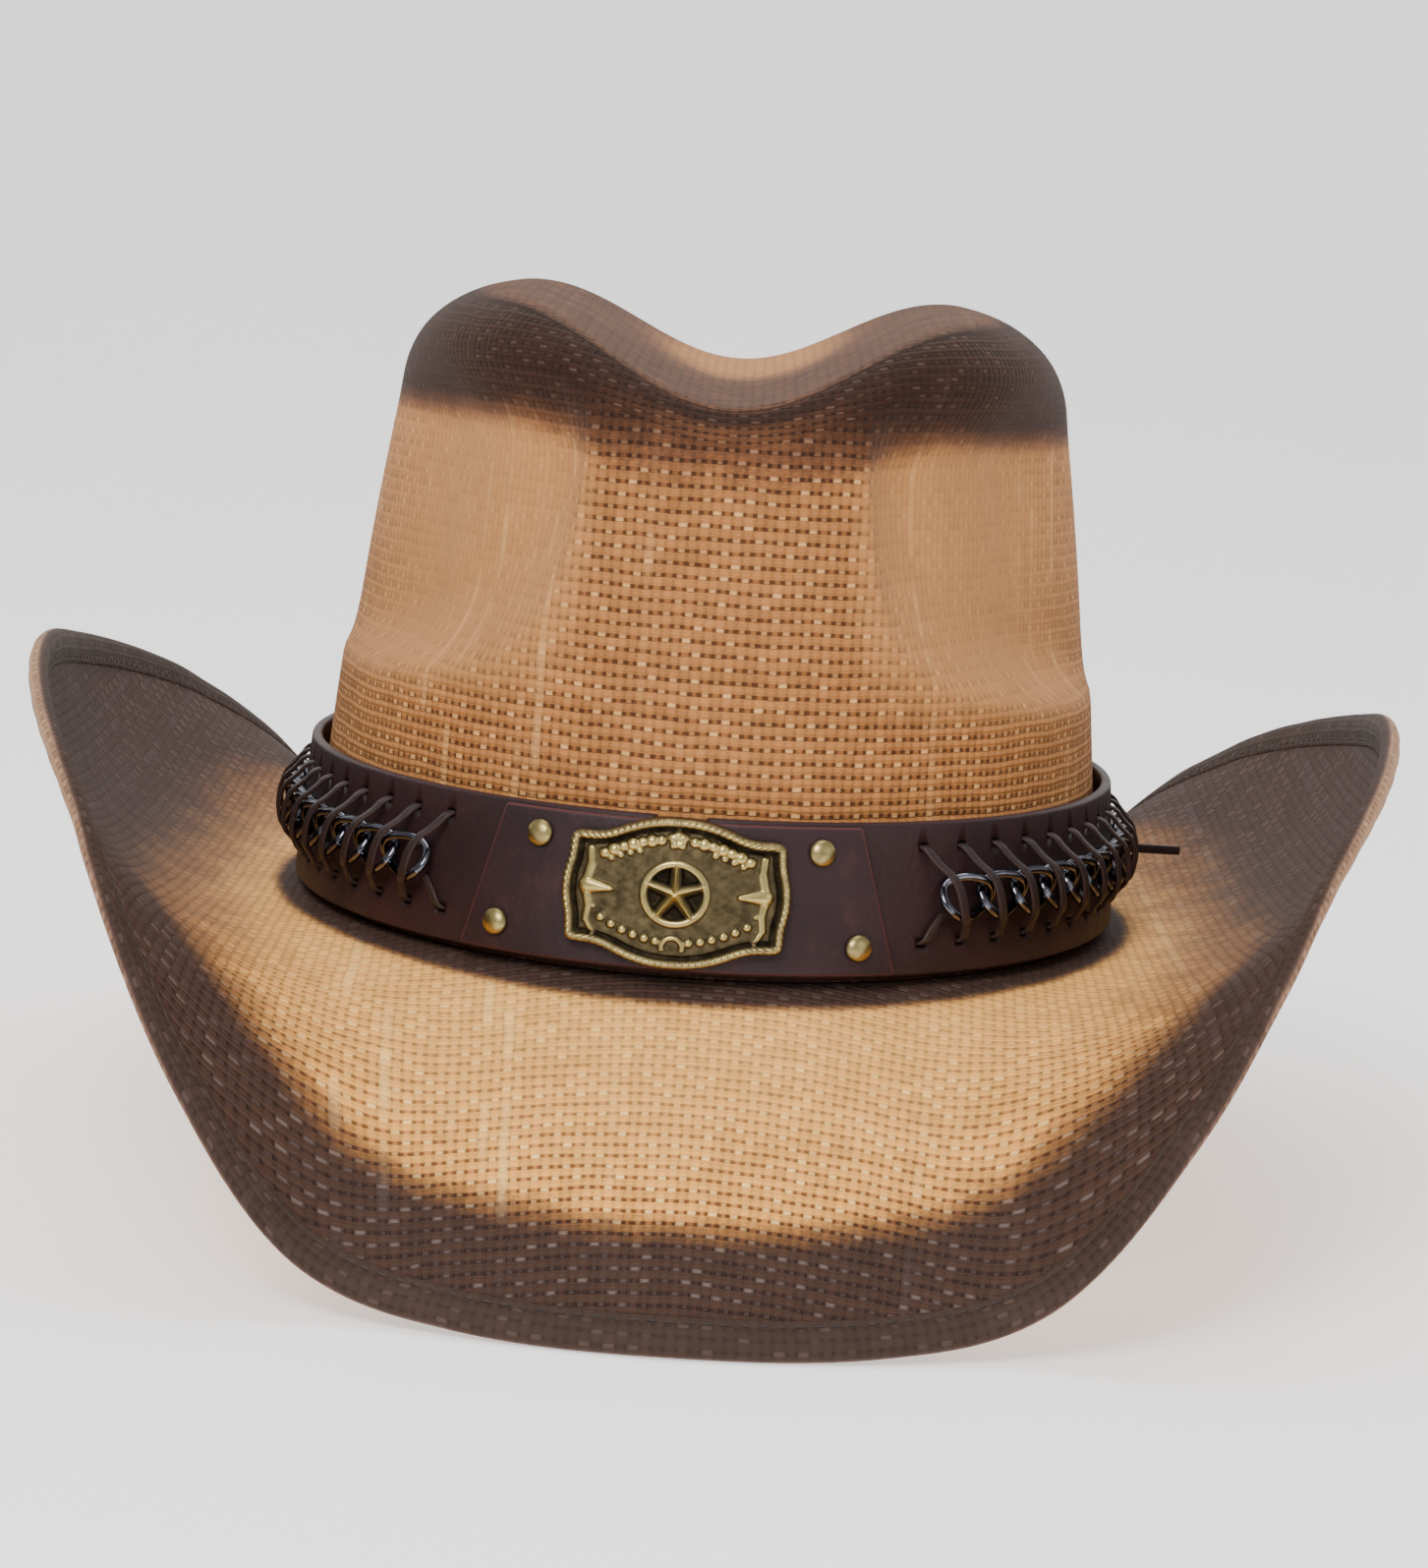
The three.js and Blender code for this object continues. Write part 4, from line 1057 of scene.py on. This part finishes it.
def make_concho():
    around, across = 560, 100
    outline, run = concho_outline(around)
    share = 1 - np.linspace(0, 0.985, across)[:, None] ** 1.15
    x, y = share * outline[:, 0], share * outline[:, 1]
    to_edge = np.array([
        np.hypot(xs[:, None] - outline[:, 0], ys[:, None] - outline[:, 1]).min(1) for xs, ys in zip(x, y)
    ])
    height, bright = concho_relief(x, y, to_edge, np.broadcast_to(run, x.shape))
    wall = together(outline[:, 0], outline[:, 1] + CONCHO_CENTRE, SEAT)
    points = np.concatenate([wall[None], together(x, y + CONCHO_CENTRE, SEAT + height)])
    relief = np.concatenate([np.full((1, around), 0.2), bright])
    add_piece(tube_mesh("concho_casting", points, relief=relief), BRASS, "hatband", "brass", "concho")


# ------------------------------------------------------------------ chain and lacing
def make_link(name, side, number):
    """One curb link, twisted so that it passes over one strand of the next and under the other."""
    steps, sides = 44, 12
    centre = side * (LACE_START + LINK_OFFSET + number * LACE_PITCH)
    turn = (np.arange(steps) + 0.5) / steps * 2 * np.pi

    def oval(at):
        return together(
            (LINK_LENGTH / 2 - LINK_WIRE) * np.cos(at), (LINK_HEIGHT / 2 - LINK_WIRE) * np.sin(at),
            LINK_TWIST * np.sin(2 * at),
        )

    middle = oval(turn)
    ahead = unit(oval(turn + 0.01) - middle)
    face = unit(np.cross(ahead, unit(middle * (-1, -1, 0))))
    wire = sweep(middle, np.cross(face, ahead), face, LINK_WIRE * circle(sides))
    flat = wire * (side, 1, 1) + (centre, CHAIN_CENTRE, CHAIN_LIFT)
    mesh = make_mesh(name + "_wire", wrap(flat), [grid_faces(steps, sides, True, True)])
    add_piece(mesh, GUNMETAL, "hatband", "gunmetal", name)


def lace_route(side):
    """The thong's middle line: up behind the strap, out, down across the chain and in again."""
    front = STRAP_OUTER + GAP + LACE_THICKNESS / 2
    route = [
        (LACE_START + 4.5, CHAIN_CENTRE - 3, front + 0.4), (LACE_START + 1.6, LACE_LOW + 3.4, front + 0.9),
        (LACE_START, LACE_LOW, front + 0.4),
    ]
    for i in range(STITCHES):
        along = LACE_START + i * LACE_PITCH
        route += [
            (along, LACE_LOW, LACE_BEHIND), (along, LACE_HIGH, LACE_BEHIND),
            (along, LACE_HIGH, front + 0.3), (along + 1.6, LACE_HIGH - 3, front + 2),
            (along + 4.6, CHAIN_CENTRE + 4, LACE_OVER), (along + 6.6, CHAIN_CENTRE - 3.5, LACE_OVER),
            (along + 9.2, LACE_LOW + 2.6, front + 1.6), (along + LACE_PITCH, LACE_LOW, front + 0.3),
        ]
    last = LACE_START + STITCHES * LACE_PITCH
    route.append((last, LACE_LOW, LACE_BEHIND))
    if side > 0:
        end = last + TAIL_STEP
        route += [
            (end - 2.5, LACE_LOW + 2, LACE_BEHIND), (end, LACE_LOW + 2, LACE_BEHIND + 0.4),
            (end, LACE_LOW + 2, front + 1), (end, LACE_LOW + 1, front + TAIL_LENGTH),
        ]
    else:
        route.append((last, LACE_HIGH - 5, LACE_BEHIND))
    return np.array(route, float)


def make_lace(name, side):
    """A flat leather strip, which turns on edge along its loose tail."""
    route = round_corners(lace_route(side))
    ahead = unit(np.gradient(route, axis=0))
    flat = np.array([1.0, 0.0, 0.0])
    upright = unit(together(0, -ahead[:, 2], ahead[:, 1]))
    twist = np.pi / 2 * smooth(LACE_OVER + 1, LACE_OVER + 8, route[:, 2:])
    wide = np.cos(twist) * flat + np.sin(twist) * upright
    thick = np.cos(twist) * upright - np.sin(twist) * flat
    section = rounded_rectangle(LACE_WIDTH / 2, LACE_THICKNESS / 2, 0.28, 2, 1)
    rows = sweep(route, wide, thick, section) * (side, 1, 1)
    edge = np.broadcast_to(smooth(0.75, 1.0, np.abs(section[:, 0])) * 0.7, rows.shape[:2])
    add_piece(tube_mesh(name + "_thong", rows, edge=edge), THONG_LEATHER, "hatband", "thong", name)


# ------------------------------------------------------------------ stage
def stage_material():
    graph = Graph("studio_floor")
    pale = graph.blend(graph.noise(graph.place(), 1.5), srgb(243, 242, 241), srgb(250, 249, 248))
    return graph.finish(
        Base_Color=pale, Emission_Color=pale, Emission_Strength=0.7, Roughness=0.9, Specular_IOR_Level=0.1,
    )


def add_stage():
    """A pale floor that sweeps up behind the hat, in metres."""
    half, back, bend, top = 16.0, 2.2, 1.2, 6.0
    turns = np.linspace(0.1, math.pi / 2, 16)
    profile = [(-half, 0.0), (back, 0.0)]
    profile += [(back + bend * math.sin(turn), bend * (1 - math.cos(turn))) for turn in turns]
    profile.append((back + bend, top))
    points = [(x, y, z) for y, z in profile for x in (-half, half)]
    mesh = raw_mesh("studio_floor", points, [grid_faces(len(profile), 2)[:, ::-1]])
    smooth_mesh(mesh, {})
    mesh.materials.append(stage_material())
    floor = new_object("studio_floor", mesh)


def add_lights():
    hat = Vector((0, 0, 0.1))
    for name, place, size, power in (
        ("key", (-0.45, -1.5, 1.35), 0.9, 27), ("fill", (1.6, -1.2, 0.8), 1.4, 6),
        ("top", (0, 0.2, 2.0), 1.4, 14), ("glint", (-0.25, -1.2, 0.9), 0.10, 2.6),
    ):
        light = bpy.data.lights.new(name, "AREA")
        light.shape = "DISK"
        light.size = size
        light.energy = power
        lamp = new_object(name, light)
        lamp.location = place
        lamp.rotation_euler = (hat - Vector(place)).to_track_quat("-Z", "Y").to_euler()
    world = bpy.data.worlds.new("studio")
    world.use_nodes = True
    background = world.node_tree.nodes["Background"].inputs
    background["Color"].default_value = (1, 1, 1, 1)
    background["Strength"].default_value = 0.55
    bpy.context.scene.world = world


# ------------------------------------------------------------------ building
make_crown()
make_brim()
make_hem()
make_wire()
make_hem_stitches()
make_sweatband()
make_strap()
make_panel()
make_concho()
for rivet_name, rivet_place in RIVETS.items():
    make_rivet(rivet_name, rivet_place)
for side_name, side_sign in (("right", 1), ("left", -1)):
    make_lace(f"lace_{side_name}", side_sign)
    for link_number in range(STITCHES):
        make_link(f"chain_link_{side_name}_{link_number + 1}", side_sign, link_number)
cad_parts["concho_screw"].material_slots[0].material = STEEL
add_stage()
add_lights()

bpy.context.view_layer.update()
